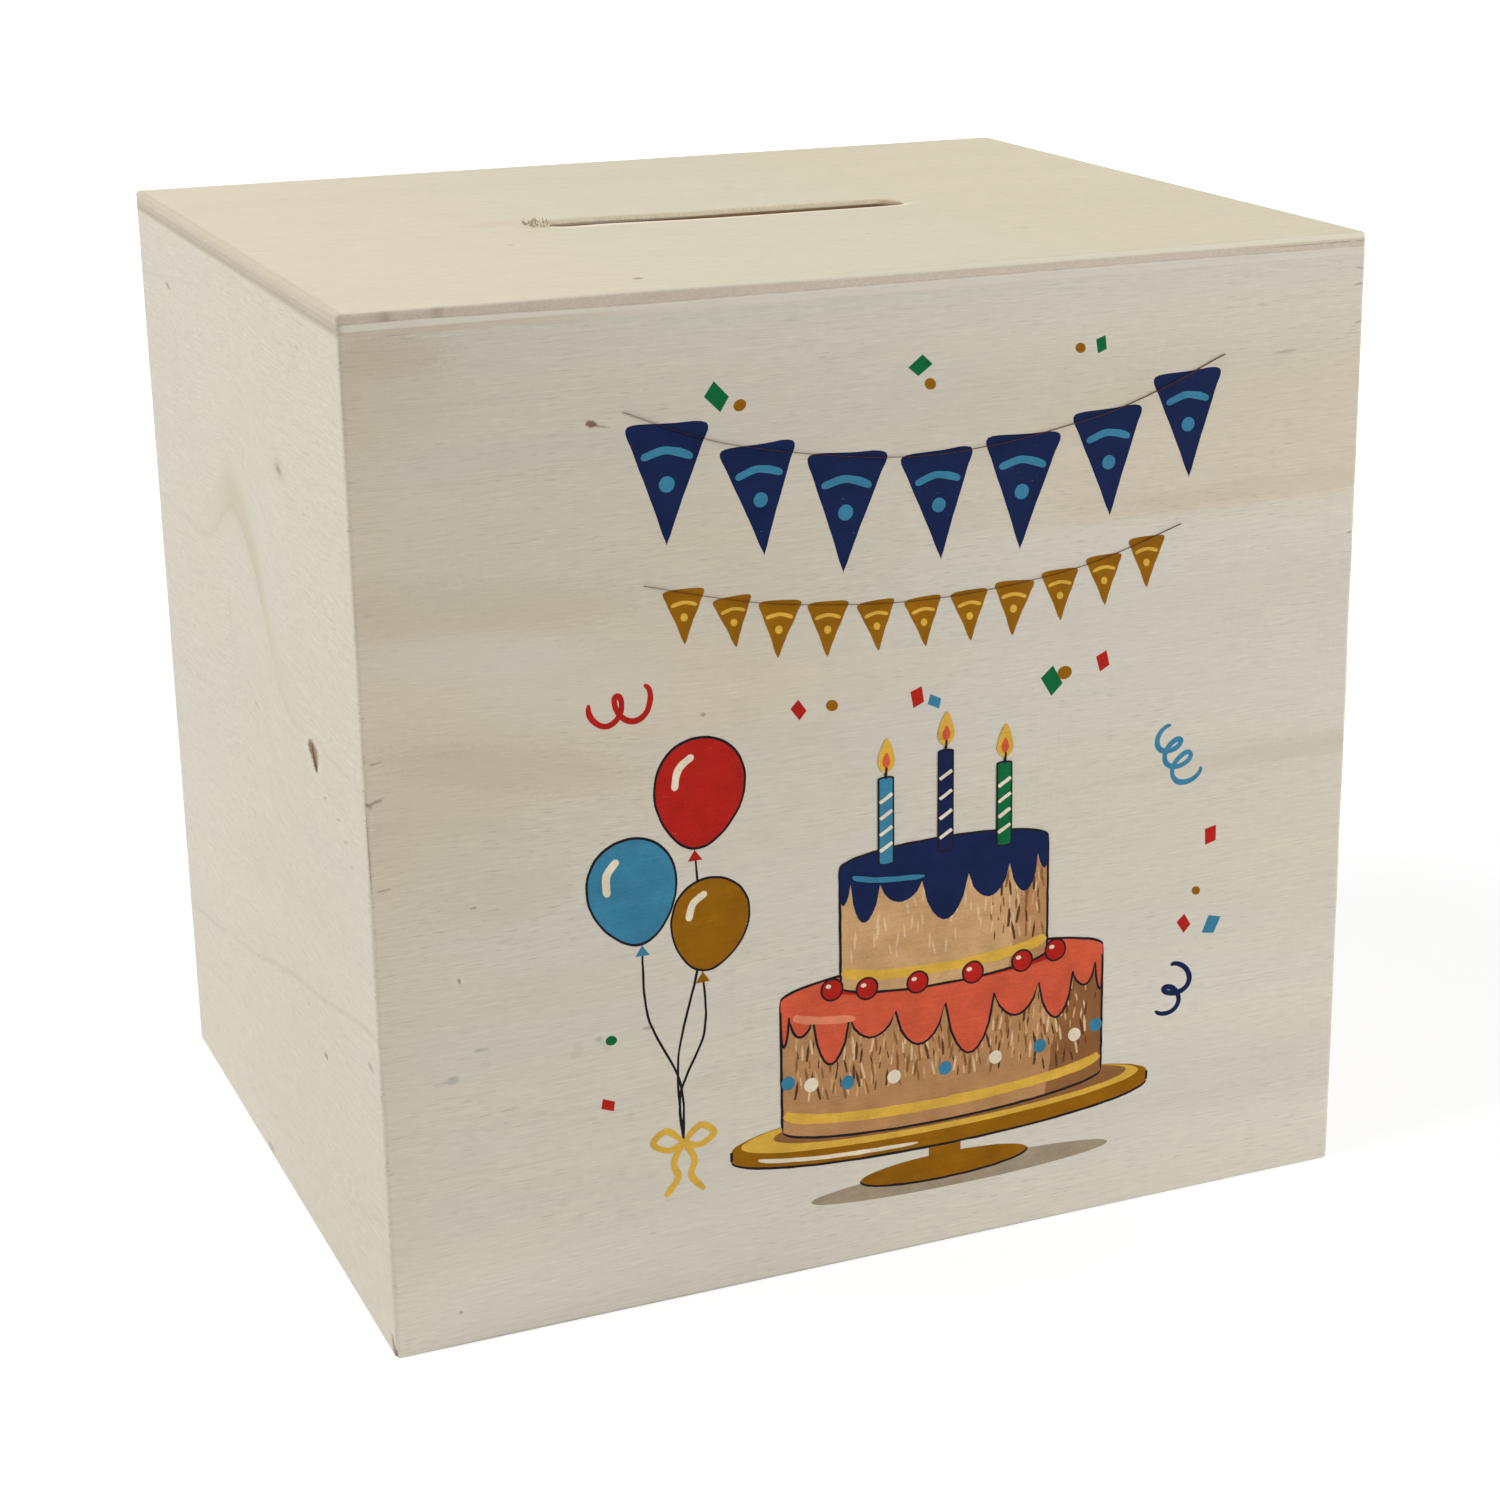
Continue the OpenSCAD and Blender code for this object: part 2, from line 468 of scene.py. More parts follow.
front_marks = (
    # middle, half lengths, tilt, strength, colour
    ((-98.0, 188.0), (16, 12), 0, 0.22, tan_cloud),
    ((-97.0, 195.0), (14, 4), 0, 0.22, tan_rosy),
    ((-84.0, 147.5), (34, 6), -4, 0.26, tan_cloud),
    ((-76.0, 116.0), (27, 5), -12, 0.26, tan_cloud),
    ((90.0, 153.0), (44, 2.6), 1, 0.2, tan_cloud),
    ((86.0, 96.0), (40, 2.4), 0, 0.2, tan_cloud),
    ((-60.0, 72.0), (36, 6), 4, 0.08, tan_cloud),
    ((-92.0, 108.0), (20, 17), 0, 0.16, tan_cloud),
    ((-80.0, 91.0), (16, 6), 6, 0.18, tan_cloud),
    ((-83.0, 138.5), (22, 4.6), -4, 0.40, halo_cool),
    ((-64.0, 131.0), (20, 9.0), 0, 0.22, halo_cool),
    ((-59.2, 179.4), (1.2, 0.7), -14, 0.95, knot_brown),
    ((-57.4, 178.8), (1.9, 0.3), -10, 0.45, knot_brown),
    ((-38.8, 121.5), (0.6, 0.4), 0, 0.55, knot_brown),
    ((-88.9, 76.0), (0.35, 0.6), 10, 0.55, knot_brown),
    ((-88.2, 76.2), (0.5, 0.5), 0, 0.50, halo_cream),
    ((-85.5, 90.0), (0.7, 0.35), 0, 0.40, tick_brown),
    ((-91.2, 56.0), (1.5, 0.8), 0, 0.60, stain_grey),
    ((-91.0, 56.6), (1.1, 0.35), 4, 0.30, stain_dark),
    ((-93.6, 55.7), (1.7, 0.5), 6, 0.30, stain_grey),
    ((-85.2, 61.2), (1.8, 0.38), 2, 0.55, stain_grey),
    ((-85.9, 61.4), (0.9, 0.2), 0, 0.35, stain_dark),
    ((-84.6, 58.1), (1.3, 0.5), 0, 0.25, cut_fibre_brown),
    ((-66.3, 57.5), (1.2, 2.0), -20, 0.14, stain_grey),
    ((-61.8, 59.1), (0.8, 0.6), 0, 0.55, stain_grey),
    ((-60.6, 57.6), (1.8, 0.8), -40, 0.22, stain_grey),
    ((-51.6, 59.6), (1.5, 0.45), 0, 0.50, tick_brown),
    ((-80.0, 48.0), (2.0, 0.35), 0, 0.20, tick_brown),
    ((-103.0, 113.4), (1.9, 0.4), 16, 0.60, tick_brown),
    ((-104.3, 113.0), (0.9, 0.35), -40, 0.55, tick_brown),
    ((-104.65, 104.5), (0.16, 8.5), 1, 0.55, tick_brown),
    ((-102.3, 96.2), (1.5, 0.3), 6, 0.45, tick_brown),
    ((-102.6, 120.8), (1.3, 0.3), 5, 0.45, tick_brown),
    ((-91.8, 7.2), (0.5, 0.35), 20, 0.50, tick_brown),
    ((87.0, 180.3), (2.6, 0.3), 2, 0.40, tick_brown),
    ((81.2, 190.2), (1.4, 0.3), -6, 0.35, stain_grey),
    ((103.6, 192.6), (1.2, 0.25), 4, 0.55, tick_brown),
    ((103.5, 195.8), (0.8, 0.25), -10, 0.40, tick_brown),
    ((103.8, 184.9), (1.0, 0.22), 14, 0.50, tick_brown),
    ((103.8, 141.4), (0.9, 0.25), 10, 0.45, tick_brown),
)


def front_wood(x, y, z):
    """The front board's wood: a warm heart band across its upper half, and its own marks."""
    wander = cloud(spot(x / 170, z / 60, front_seed), 1.0) * 12
    wiggle = cloud(spot(x / 24, z / 14, front_seed), 1.0) * 1.0
    dip = hill((x + 98) / 38) * hill((z - 118) / 26) * 11
    figure = z + wander + wiggle - dip
    warm_edge = rises(z + wiggle * 0.4, 148.8, 150.8) * rises(z, 196, 172)
    heart = hill((z + wander * 0.5 - 132) / 36) * rises(x, 20, -50)
    warmth = heart * 0.8 + warm_edge * rises(x, -20, 60) * 0.8
    warmth = warmth + cloud(spot(x / 110, z / 45, 31.0), 1.0) * 0.5 + hill((x + 104) / 7) * 0.5 + 0.18
    warmth = warmth - rises(z, 34, 10) * 0.4
    depth = y + half_depth / mm
    colour, relief = board_wood(x, z, depth, figure, front_seed, warmth, 1.0, front_marks)
    reddening = rises(x, 60, 90) * hill((figure - 96) / 5)
    nicks = arris_nicks(x, z, half_width / mm - abs(x))
    seam = rises(z, 198.0, 198.6) * rises(cloud(spot(x / 5, z), 2.0), -0.1, 0.4) * rises(x, -50, -80)
    pale_bands = (
        # height, half width, strength
        (187.0, 8, 0.022),
        (145.0, 7, 0.062),
        (112.0, 13, 0.044),
        (42.0, 14, 0.056),
    )
    paler = rises(z, 26, 8) * (rises(x, -40, 20) * 0.06 + 0.05) + (105.0 - z) * 0.0005
    paler = paler + rises(z, 180, 192) * rises(x, -75, -45) * 0.035
    for height, half_width_mm, strength in pale_bands:
        paler = paler + hill((figure - height) / half_width_mm) * rises(x, -20, 50) * strength
    # Painted shadow: a thin dark line along the foot of the board, strongest on its left half, where it
    # meets the floor.
    foot_shadow_line = rises(z, 0.75, 0.35) * rises(x, 90, -10) * rises(x, -100, -88)
    colour = shaded(colour, 1.0 - nicks * 0.2 - reddening * 0.035 - seam * 0.18 - foot_shadow_line * 0.22 + paler)
    return colour, relief - nicks


front_finish, front_place = new_material("printed_poplar_front")
dress_wood(front_finish, front_wood(*front_place), sanded_bump, sanded_roughness)

front_board = standing_board("front_board", turn=0, foot=0.0, grooved=True)
front_board.data.materials.append(front_finish)
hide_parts("front_wall")
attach(front_board, "box")


# ---- Left board ------------------------------------------------------------
# The same 6 mm ply, cut from nearer a branch: a pin knot sits behind its front
# arris, and two growth lines sweep past it. At the foot its mitre has split open.

left_seed = 11.0
knot_place = (-48.8, 111.8)
knot_red = paint(157, 123, 97)
knot_olive = paint(134, 108, 80)
knot_dark = paint(84, 60, 44)
knot_bark = paint(80, 60, 44)
pale_halo = paint(226, 217, 200)
smear_olive = paint(204, 195, 170)
split_shade_brown = paint(104, 76, 52)
cleft_height = 4.3
cleft_lean = 2.3
cleft_depth = 0.9 * mm
cleft_half_width = 0.85 * mm


def open_mitre(x, y, z, inset):
    """Presses the split of the mitre, which leans back from the corner, into the left face."""
    up = min(1.0, z / (cleft_height * mm))
    across = y + half_depth - 0.5 * mm - cleft_lean * mm * up * up * (3 - 2 * up)
    fade = max(0.0, 1 - up) ** 0.5
    dip = cleft_depth * fade * max(0.0, 1 - abs(across) / cleft_half_width)
    return x, y, max(inset, dip)


left_marks = (
    ((-34.8, 165.3), (4.6, 2.4), 8, 0.12, knot_brown),
    ((-34.8, 165.0), (2.4, 1.1), 8, 0.30, knot_brown),
    ((-34.8, 165.0), (1.0, 0.5), 8, 0.35, knot_brown),
    ((57.0, 186.2), (2.6, 0.6), 6, 0.42, knot_brown),
    ((-78.2, 58.8), (1.7, 0.8), 0, 0.40, tick_brown),
    ((-79.6, 58.2), (1.2, 0.5), 0, 0.30, stain_grey),
    ((-43.0, 46.8), (1.4, 0.65), 0, 0.60, knot_brown),
    ((14.5, 1.8), (3.0, 1.0), 0, 0.35, tick_brown),
    ((-1.8, 108.8), (2.2, 0.35), 10, 0.30, tick_brown),
    ((-65.0, 104.0), (1.6, 0.35), -16, 0.35, tick_brown),
    ((-69.5, 101.0), (1.8, 0.4), -16, 0.35, tick_brown),
    ((-73.5, 97.2), (1.6, 0.35), -12, 0.30, tick_brown),
    ((17.5, 124.5), (0.5, 5.0), 0, 0.16, tick_brown),
    ((-48.8, 111.8), (6.4, 5.2), 0, 0.40, pale_halo),
    ((-48.8, 112.4), (3.6, 2.2), 0, 0.90, knot_red),
    ((-49.6, 110.7), (2.0, 2.0), 0, 0.90, knot_red),
    ((-47.0, 113.0), (2.6, 1.6), 0, 0.90, knot_olive),
    ((-48.3, 112.2), (0.8, 2.3), -12, 0.80, knot_dark),
    ((-50.0, 109.9), (1.0, 1.3), -8, 0.90, knot_bark),
    ((-49.2, 111.0), (0.8, 1.4), -10, 0.80, knot_bark),
    ((-55.8, 105.4), (1.3, 0.35), -16, 0.40, tick_brown),
)


def left_wood(x, y, z):
    """The left board's wood, with its figure bent round the pin knot."""
    sweep = ((y + 18) / 8).calc("TANH") * 11 + hill((y - 8) / 17) * 13
    low_slope = y * 0.215 * hill((z - 50) / 45)
    wiggle = cloud(spot(y / 30, z / 12, left_seed), 1.0) * 1.5
    round_knot = hill((y - knot_place[0]) / 9) * hill((z - knot_place[1]) / 7) * (z - knot_place[1]) * 0.5
    lift = rises(z, 66, 116) * rises(z, 204, 158)
    figure = z + low_slope - sweep * lift + wiggle - round_knot
    warmth = cloud(spot(y / 120, z / 60, left_seed), 1.0) * 0.6 + 0.18
    depth = x + half_width / mm
    colour, relief = board_wood(y, z, depth, figure, left_seed, warmth, 0.45, left_marks)
    fading = cloud(spot(y / 30, z / 30, 3.0), 1.0) * 0.5 + 0.8
    line_depth = 0.55 + hill((y + 10) / 30) * 0.45
    smear = hill((figure - 127.8) / 5.5) * hill((y - 2) / 27) * (fading + relief * 0.8)
    colour = mixed(smear * 0.9, colour, smear_olive)
    sweeping_line = hill((figure - 124.5) / 0.8) * line_depth
    low_line = hill((figure - 50.8) / 0.7)
    high_line = hill((z + y * 0.09 - 193.0) / 0.6) * rises(y, 10, 30) * 0.6
    paler = rises(y, -40, 60) * rises(z, 130, 20) * 0.055
    colour = shaded(colour, 1.0 + paler - (sweeping_line + low_line + high_line) * fading * 0.10)
    # The open split at the foot of the mitre is painted dark brown: partly the brown wood of the open mitre,
    # partly painted shade inside the gap.
    climb = (z / cleft_height).calc("MINIMUM", 1.0)
    split_at = climb * climb * (3.0 - climb * 2.0) * cleft_lean + (0.5 - half_depth / mm)
    split = hill((y - split_at) / (climb * -0.45 + 1.1)) * rises(z, cleft_height, cleft_height - 1.2)
    colour = mixed(split, colour, split_shade_brown)
    nicks = arris_nicks(y, z, half_depth / mm - abs(y))
    return shaded(colour, 1.0 - nicks * 0.22), relief - nicks


left_finish, left_place = new_material("poplar_left")
dress_wood(left_finish, left_wood(*left_place), sanded_bump, sanded_roughness)

left_board = standing_board("left_board", turn=270, foot=0.0, grooved=True, shape_face=open_mitre)
left_board.data.materials.append(left_finish)
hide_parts("left_wall")
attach(left_board, "box")


# ---- Right and back boards -------------------------------------------------
# Two more boards of the same ply. The back one is cut short at its foot, so
# that the sliding floor can pass out under it. Both are plain, with few marks.

right_seed = 23.0
back_seed = 37.0


def plain_board_wood(along, up, depth, seed, marks):
    """The wood of a board with no branch near it: level figure with a slow wave."""
    wander = cloud(spot(along / 150, up / 70, seed), 1.0) * 14
    wiggle = cloud(spot(along / 26, up / 13, seed), 1.0) * 1.5
    warmth = cloud(spot(along / 120, up / 55, seed), 1.0) * 0.8 + 0.35
    return board_wood(along, up, depth, up + wander + wiggle, seed, warmth, 0.75, marks)


right_marks = (
    ((31.0, 72.0), (1.6, 1.2), 0, 0.85, knot_brown),
    ((33.4, 71.6), (2.6, 0.4), -6, 0.35, knot_brown),
    ((-52.0, 148.0), (0.8, 0.5), 0, 0.50, knot_brown),
    ((-20.0, 30.5), (3.2, 0.5), 4, 0.35, stain_grey),
    ((66.0, 120.0), (2.4, 0.4), -3, 0.35, tick_brown),
)
right_finish, right_place = new_material("poplar_right")
right_wood = plain_board_wood(
    right_place[1], right_place[2], half_width / mm - right_place[0], right_seed, right_marks)
dress_wood(right_finish, right_wood, sanded_bump, sanded_roughness)

back_marks = (
    ((-38.0, 128.0), (2.0, 1.7), 0, 0.90, knot_brown),
    ((-38.6, 127.6), (1.2, 0.8), 20, 0.80, knot_dark),
    ((-35.0, 127.4), (3.6, 0.5), -8, 0.35, knot_brown),
    ((58.0, 66.0), (0.9, 0.6), 0, 0.55, knot_brown),
    ((12.0, 44.0), (3.0, 0.45), 3, 0.35, tick_brown),
    ((80.0, 170.0), (1.6, 0.5), 0, 0.40, stain_grey),
)
back_finish, back_place = new_material("poplar_back")
back_wood = plain_board_wood(
    back_place[0], back_place[2], half_depth / mm - back_place[1], back_seed, back_marks)
dress_wood(back_finish, back_wood, sanded_bump, sanded_roughness)

right_board = standing_board("right_board", turn=90, foot=0.0, grooved=True)
right_board.data.materials.append(right_finish)
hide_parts("right_wall")
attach(right_board, "box")

back_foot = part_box("back_wall")[0].z
back_board = standing_board("back_board", turn=180, foot=back_foot, grooved=False)
back_board.data.materials.append(back_finish)
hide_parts("back_wall")
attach(back_board, "box")


# ---- Top panel -------------------------------------------------------------
# Three-ply sheet, 4.4 mm thick, glued flush over the four boards and sanded
# with them. Its face grain runs along the slot, and the router has worn the
# slot's rim soft and torn some fibres at its left end.

top_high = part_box("top_panel")[1]
slot_middle = Vector((-0.4, -5)) * mm
slot_half_length = 39.5 * mm
slot_half_width = 5 * mm
slot_squareness = 0.72
slot_turn = math.radians(-0.7)
sheet_thickness = 4.4
raised_reach = 14.0
wear_half_length = 35
wear_half_width = 5
slot_forward = 5
sharp_rim = 0.28 * mm
bevel_reach, bevel_drop = 0.75 * mm, 0.92 * mm
top_seed = 51.0
top_bump = 0.012 * mm
top_roughness = 0.72


def slot_outline(turn_steps, straight_steps):
    """Points round the slot and their outward directions, from the right end's front."""
    straight = slot_half_length - slot_half_width
    outline = []
    for side in (1, -1):
        for k in range(turn_steps):
            angle = math.radians(-90 + 180 * k / turn_steps)
            out = Vector((math.cos(angle), math.sin(angle)))
            corner = Vector([math.copysign(abs(part) ** slot_squareness, part) for part in out])
            turned = (Vector((straight, 0)) + corner * slot_half_width) * side
            outline.append((turned, out * side))
        for k in range(straight_steps):
            x = side * straight * (1 - 2 * k / straight_steps)
            out = Vector((0, side))
            outline.append((Vector((x, side * slot_half_width)), out))
    turn = Matrix.Rotation(slot_turn, 2)
    return [(slot_middle + turn @ place, turn @ out) for place, out in outline]


def graded_run(start, end, steps):
    """steps places from start towards end, crowded near both ends, without the end itself."""
    fine = steps // 4
    near = 3 * mm * math.copysign(1, end - start)
    middle = steps - 2 * fine
    run = [start + near * k / fine for k in range(fine)]
    run += [start + near + (end - start - 2 * near) * k / middle for k in range(middle)]
    run += [end - near + near * k / fine for k in range(fine)]
    return run


def sheet_outline(side_steps, long_steps):
    """Points round the sheet's square-cornered outline, matched with the slot's."""
    outline = []
    for side in (1, -1):
        for y in graded_run(-half_depth, half_depth, side_steps):
            outline.append(Vector((side * half_width, side * y)))
        for x in graded_run(half_width, -half_width, long_steps):
            outline.append(Vector((side * x, side * half_depth)))
    return outline


def swell(x, y):
    """How far the veneer has risen round the slot's left end, where the cutter lifted it."""
    along = (x - slot_middle.x + 30 * mm) / (15 * mm)
    across = (y - slot_middle.y) / (9 * mm)
    return 0.5 * mm * math.exp(-along ** 2 - across ** 2)


def tear_out(place):
    """How far the worn rim is torn back at this place: most at the slot's left end."""
    from_end = (place - slot_middle - Vector((-slot_half_length, 0))).length
    near_end = math.exp(-(from_end / (4.5 * mm)) ** 2)
    grit = noise.noise(Vector((place.x * 1800, place.y * 1800, 3.3)))
    chips = noise.noise(Vector((place.x * 420, place.y * 420, 8.1)))
    return near_end * (0.5 + 0.5 * grit) + max(0.0, chips - 0.25) * 0.5


def slot_wall(slot_ring):
    """The slot's wall from its foot upwards, with a fine notch along each glue line."""
    loops = []
    for depth in (sheet_thickness, 3.3, 3.2, 3.1, 1.3, 1.2, 1.1, 1.0):
        notch = 0.05 * mm if depth in (3.2, 1.1) else 0.0
        level = []
        for place, out in slot_ring:
            fuzz = 0.05 * mm * noise.noise(Vector((place.x * 900, place.y * 900, depth)))
            spread = place + out * (notch + fuzz)
            raised = swell(spread.x, spread.y) if depth < 2 else 0.0
            level.append((spread.x, spread.y, top_high.z - depth * mm + raised))
        loops.append(level)
    return loops


def worn_rim(slot_ring, steps=8):
    """The slot's rim: sharp in front, and worn to a ragged bevel behind."""
    loops = []
    for step in range(1, steps):
        angle = math.radians(90 * step / steps)
        level = []
        for place, out in slot_ring:
            worn = min(1.0, max(0.0, out.y * 1.3))
            ragged = 1 + 0.35 * noise.noise(Vector((place.x * 340, place.y * 340, 1.0)))
            ragged += 0.3 * tear_out(place)
            reach = sharp_rim * (1 - math.cos(angle)) * (1 - worn) + bevel_reach * step / steps * worn
            drop = sharp_rim * (1 - math.sin(angle)) * (1 - worn) + bevel_drop * (1 - step / steps) * worn
            spread = place + out * reach * ragged
            level.append((spread.x, spread.y, top_high.z - drop + swell(spread.x, spread.y)))
        loops.append(level)
    return loops


def sheet_face(slot_ring, sheet_ring):
    """The upper face: round the slot, where the veneer has risen, then level to the arris."""
    loops = []
    for reach in (1.0, 1.6, 2.6, 4.0, 5.5, 7.0, 9.0, 11.0, raised_reach):
        level = []
        for place, out in slot_ring:
            spread = place + out * reach * mm
            burr = 0.05 * mm * tear_out(place) * max(0.0, 2 - reach)
            level.append((spread.x, spread.y, top_high.z - burr + swell(spread.x, spread.y)))
        loops.append(level)
    for share in (0.25, 0.5, 0.75, 0.95):
        level = []
        for (place, out), far in zip(slot_ring, sheet_ring):
            spread = (place + out * raised_reach * mm).lerp(far * 0.985, share)
            level.append((spread.x, spread.y, top_high.z))
        loops.append(level)
    level = []
    for place in sheet_ring:
        x, y = on_outline(place.x, place.y, arris_radius * 1.4, sanded_radius(place.x, place.y, 0))
        level.append((x, y, top_high.z))
    return loops + [level]


def sheet_arris(sheet_ring, steps=8):
    """The sanded arris round the sheet, its radius as uneven as the sandpaper left it."""
    loops = []
    for step in range(steps + 1):
        angle = math.radians(90 * step / steps)
        level = []
        for place in sheet_ring:
            wander = noise.noise(Vector((place.x * 60, place.y * 60, 4.0)))
            nibble = noise.noise(Vector((place.x * 380, place.y * 380, 6.0)))
            radius = arris_radius * (0.9 + 0.25 * wander + 0.12 * nibble)
            inset = radius * (1 - math.sin(angle))
            x, y = on_outline(place.x, place.y, inset, sanded_radius(place.x, place.y, top_high.z))
            level.append((x, y, top_high.z - radius * (1 - math.cos(angle))))
        loops.append(level)
    return loops


def sheet_edge(sheet_ring):
    """The sawn edge from the arris down: the core lies back a hair, and its lower glue line more."""
    loops = []
    for depth in (1.35, 1.6, 2.2, 2.8, 3.1, 3.2, 3.3, 4.1, 4.25, sheet_thickness):
        level = []
        for place in sheet_ring:
            recess = 0.0
            if 1.3 < depth < 3.15:
                rough = noise.noise(Vector((place.x * 700, place.y * 700, depth)))
                recess = (0.05 + 0.04 * rough) * mm
            if depth == 3.2:
                recess = 0.07 * mm
            inset = max(recess, foot_inset((sheet_thickness - depth) * mm, seam_ease))
            x, y = on_outline(place.x, place.y, inset, sanded_radius(place.x, place.y, top_high.z))
            level.append((x, y, top_high.z - depth * mm))
        loops.append(level)
    return loops


def ring_solid(name, loops):
    """Joins closed loops in turn, and the last to the first, into one solid like a ring."""
    around = len(loops[0])
    points = [point for level in loops for point in level]
    faces = []
    for r in range(len(loops)):
        this, following = r * around, (r + 1) % len(loops) * around
        for k in range(around):
            ahead = (k + 1) % around
            faces.append((this + k, following + k, following + ahead, this + ahead))
    return solid_from(name, points, faces, sliver)


face_cream = paint(218, 209, 185)
face_cream_lit_left = paint(226, 215, 192)
face_cream_right = paint(218, 207, 180)
core_pink_brown = paint(207, 193, 177)
lower_ply_pale = paint(219, 211, 197)
core_long = paint(212, 200, 182)
end_cut = paint(196, 186, 167)
line_brown = paint(148, 120, 98)
slot_rim_highlight = paint(251, 238, 214)
slot_core_shade_brown = paint(178, 144, 104)
slot_torn_cream = paint(238, 220, 188)
slot_end_brown = paint(172, 140, 102)
tuft_rosy = paint(214, 190, 172)
arris_highlight = paint(233, 226, 206)
foot_tan = paint(205, 191, 170)
foot_pale = paint(221, 212, 197)
left_foot = paint(207, 200, 181)
top_marks = (
    ((-45.2, -73.4), (1.1, 1.0), 0, 0.62, knot_brown),
    ((-54.0, -25.4), (0.9, 0.45), 10, 0.55, tick_brown),
    ((45.5, -50.5), (1.6, 0.8), 20, 0.22, tick_brown),
    ((14.5, -43.5), (0.6, 0.5), 0, 0.22, tick_brown),
    ((-47.5, 1.5), (9.0, 4.0), 12, 0.30, tuft_rosy),
)


def face_ply(x, y, depth):
    """Colour and relief of the upper ply: paler at the left, which is painted light from the left lamp, and
    yellower at the right.
    """
    wander = cloud(spot(x / 170, y / 60, top_seed), 1.0) * 12
    figure = y + wander + cloud(spot(x / 30, y / 10, top_seed), 1.0) * 1.2
    bands, streaks, fibres, pores = veneer(x, y, figure, depth, top_seed)
    # Painted light: the face is mixed paler towards the left, where the lamp stands.
    colour = mixed(rises(x, 20, -95), face_cream, face_cream_lit_left)
    colour = mixed(rises(x, 0, 60), colour, face_cream_right)
    colour = shaded(colour, 1.0 + bands * 0.035 + streaks * 0.03 + fibres * 0.30 - pores * 0.05)
    return colour, fibres * 0.5 + streaks * 0.2 - pores * 0.5


def outside_slot(x, y):
    """How far a place on the sheet lies from the slot's wall, in millimetres."""
    from_end_x = (abs(x) - wear_half_length).calc("MAXIMUM", 0.0)
    from_middle_y = y + slot_forward
    from_line = (from_end_x * from_end_x + from_middle_y * from_middle_y).calc("SQRT")
    return from_line - wear_half_width


def worn_face(colour, x, y, depth, from_slot, torn_patch, tufts):
    """The face ply's colour with its marks, a painted highlight along the slot's front rim, and the
    wear round the slot: a torn fringe behind and a browned right end."""
    ragged = cloud(spot(x / 0.9, y / 0.6, top_seed), 2.0) * 0.5
    # Painted highlight: a pale band along the slot's front rim, for the light it catches.
    rim = hill((from_slot - 0.5) / 1.2) * rises(depth, 1.6, 0.9) * rises(y, -8.0, -9.6)
    colour = mixed(rim * 0.95, colour, slot_rim_highlight)
    colour = marked(colour, spot(x, y), ragged, top_marks)
    fringe = hill((from_slot - 0.3) / 0.6) * rises(y, -4, -2) * rises(depth, 1.2, 0.6)
    colour = mixed(fringe * 0.6, colour, slot_torn_cream)
    # At the slot's left end, lighter and darker streaks: pale torn fibres, and painted shade in the gaps
    # between them.
    colour = shaded(colour, 1.0 + torn_patch * tufts * 0.35 + fringe * tufts * 0.30)
    right_tip = rises(x, 35.5, 38.5) * rises(from_slot, 0.5, 0.1) * rises(depth, 0.15, 0.5)
    return mixed(right_tip * 0.85, colour, slot_end_brown)


def core_wood(x, y, z, facing_y, from_slot, speckle, tufted, blotches):
    """The core's colour: rosy where its fibres are cut across, stained at the front's left end
    and painted darker brown in the slot, as the shade that falls there."""
    core_streaks = cloud(spot(x / 0.8, y / 9, z / 0.3), 2.0)
    core = mixed(facing_y, core_long, core_pink_brown)
    stains = hill((x + 96.2 + tufted * 0.8) / 1.4) + hill((x + 86.8 + tufted * 0.8) / 1.0) * 0.9
    stains = stains * rises(y, -80, -84) * (0.8 + speckle * 0.5)
    core_tone = 0.945 + rises(x, -90, 0) * 0.075 - rises(x, 60, 104) * 0.035 + blotches * 0.08
    core = shaded(core, core_tone + speckle * 0.2 + tufted * 0.16 + core_streaks * 0.05)
    core = mixed(stains * 0.5, core, line_brown)
    # Painted shade: inside the slot the core is mixed to a darker brown.
    return mixed(rises(from_slot, 2.0, 0.5), core, slot_core_shade_brown)


def end_facing(x):
    """How squarely the surface faces along x and along y, from 0 to 1."""
    tree = x.socket.id_data
    where = tree.nodes.new("ShaderNodeTexCoord")
    parts = tree.nodes.new("ShaderNodeSeparateXYZ")
    tree.links.new(where.outputs["Normal"], parts.inputs[0])
    return [abs(Field(parts.outputs[axis])) for axis in (0, 1)]


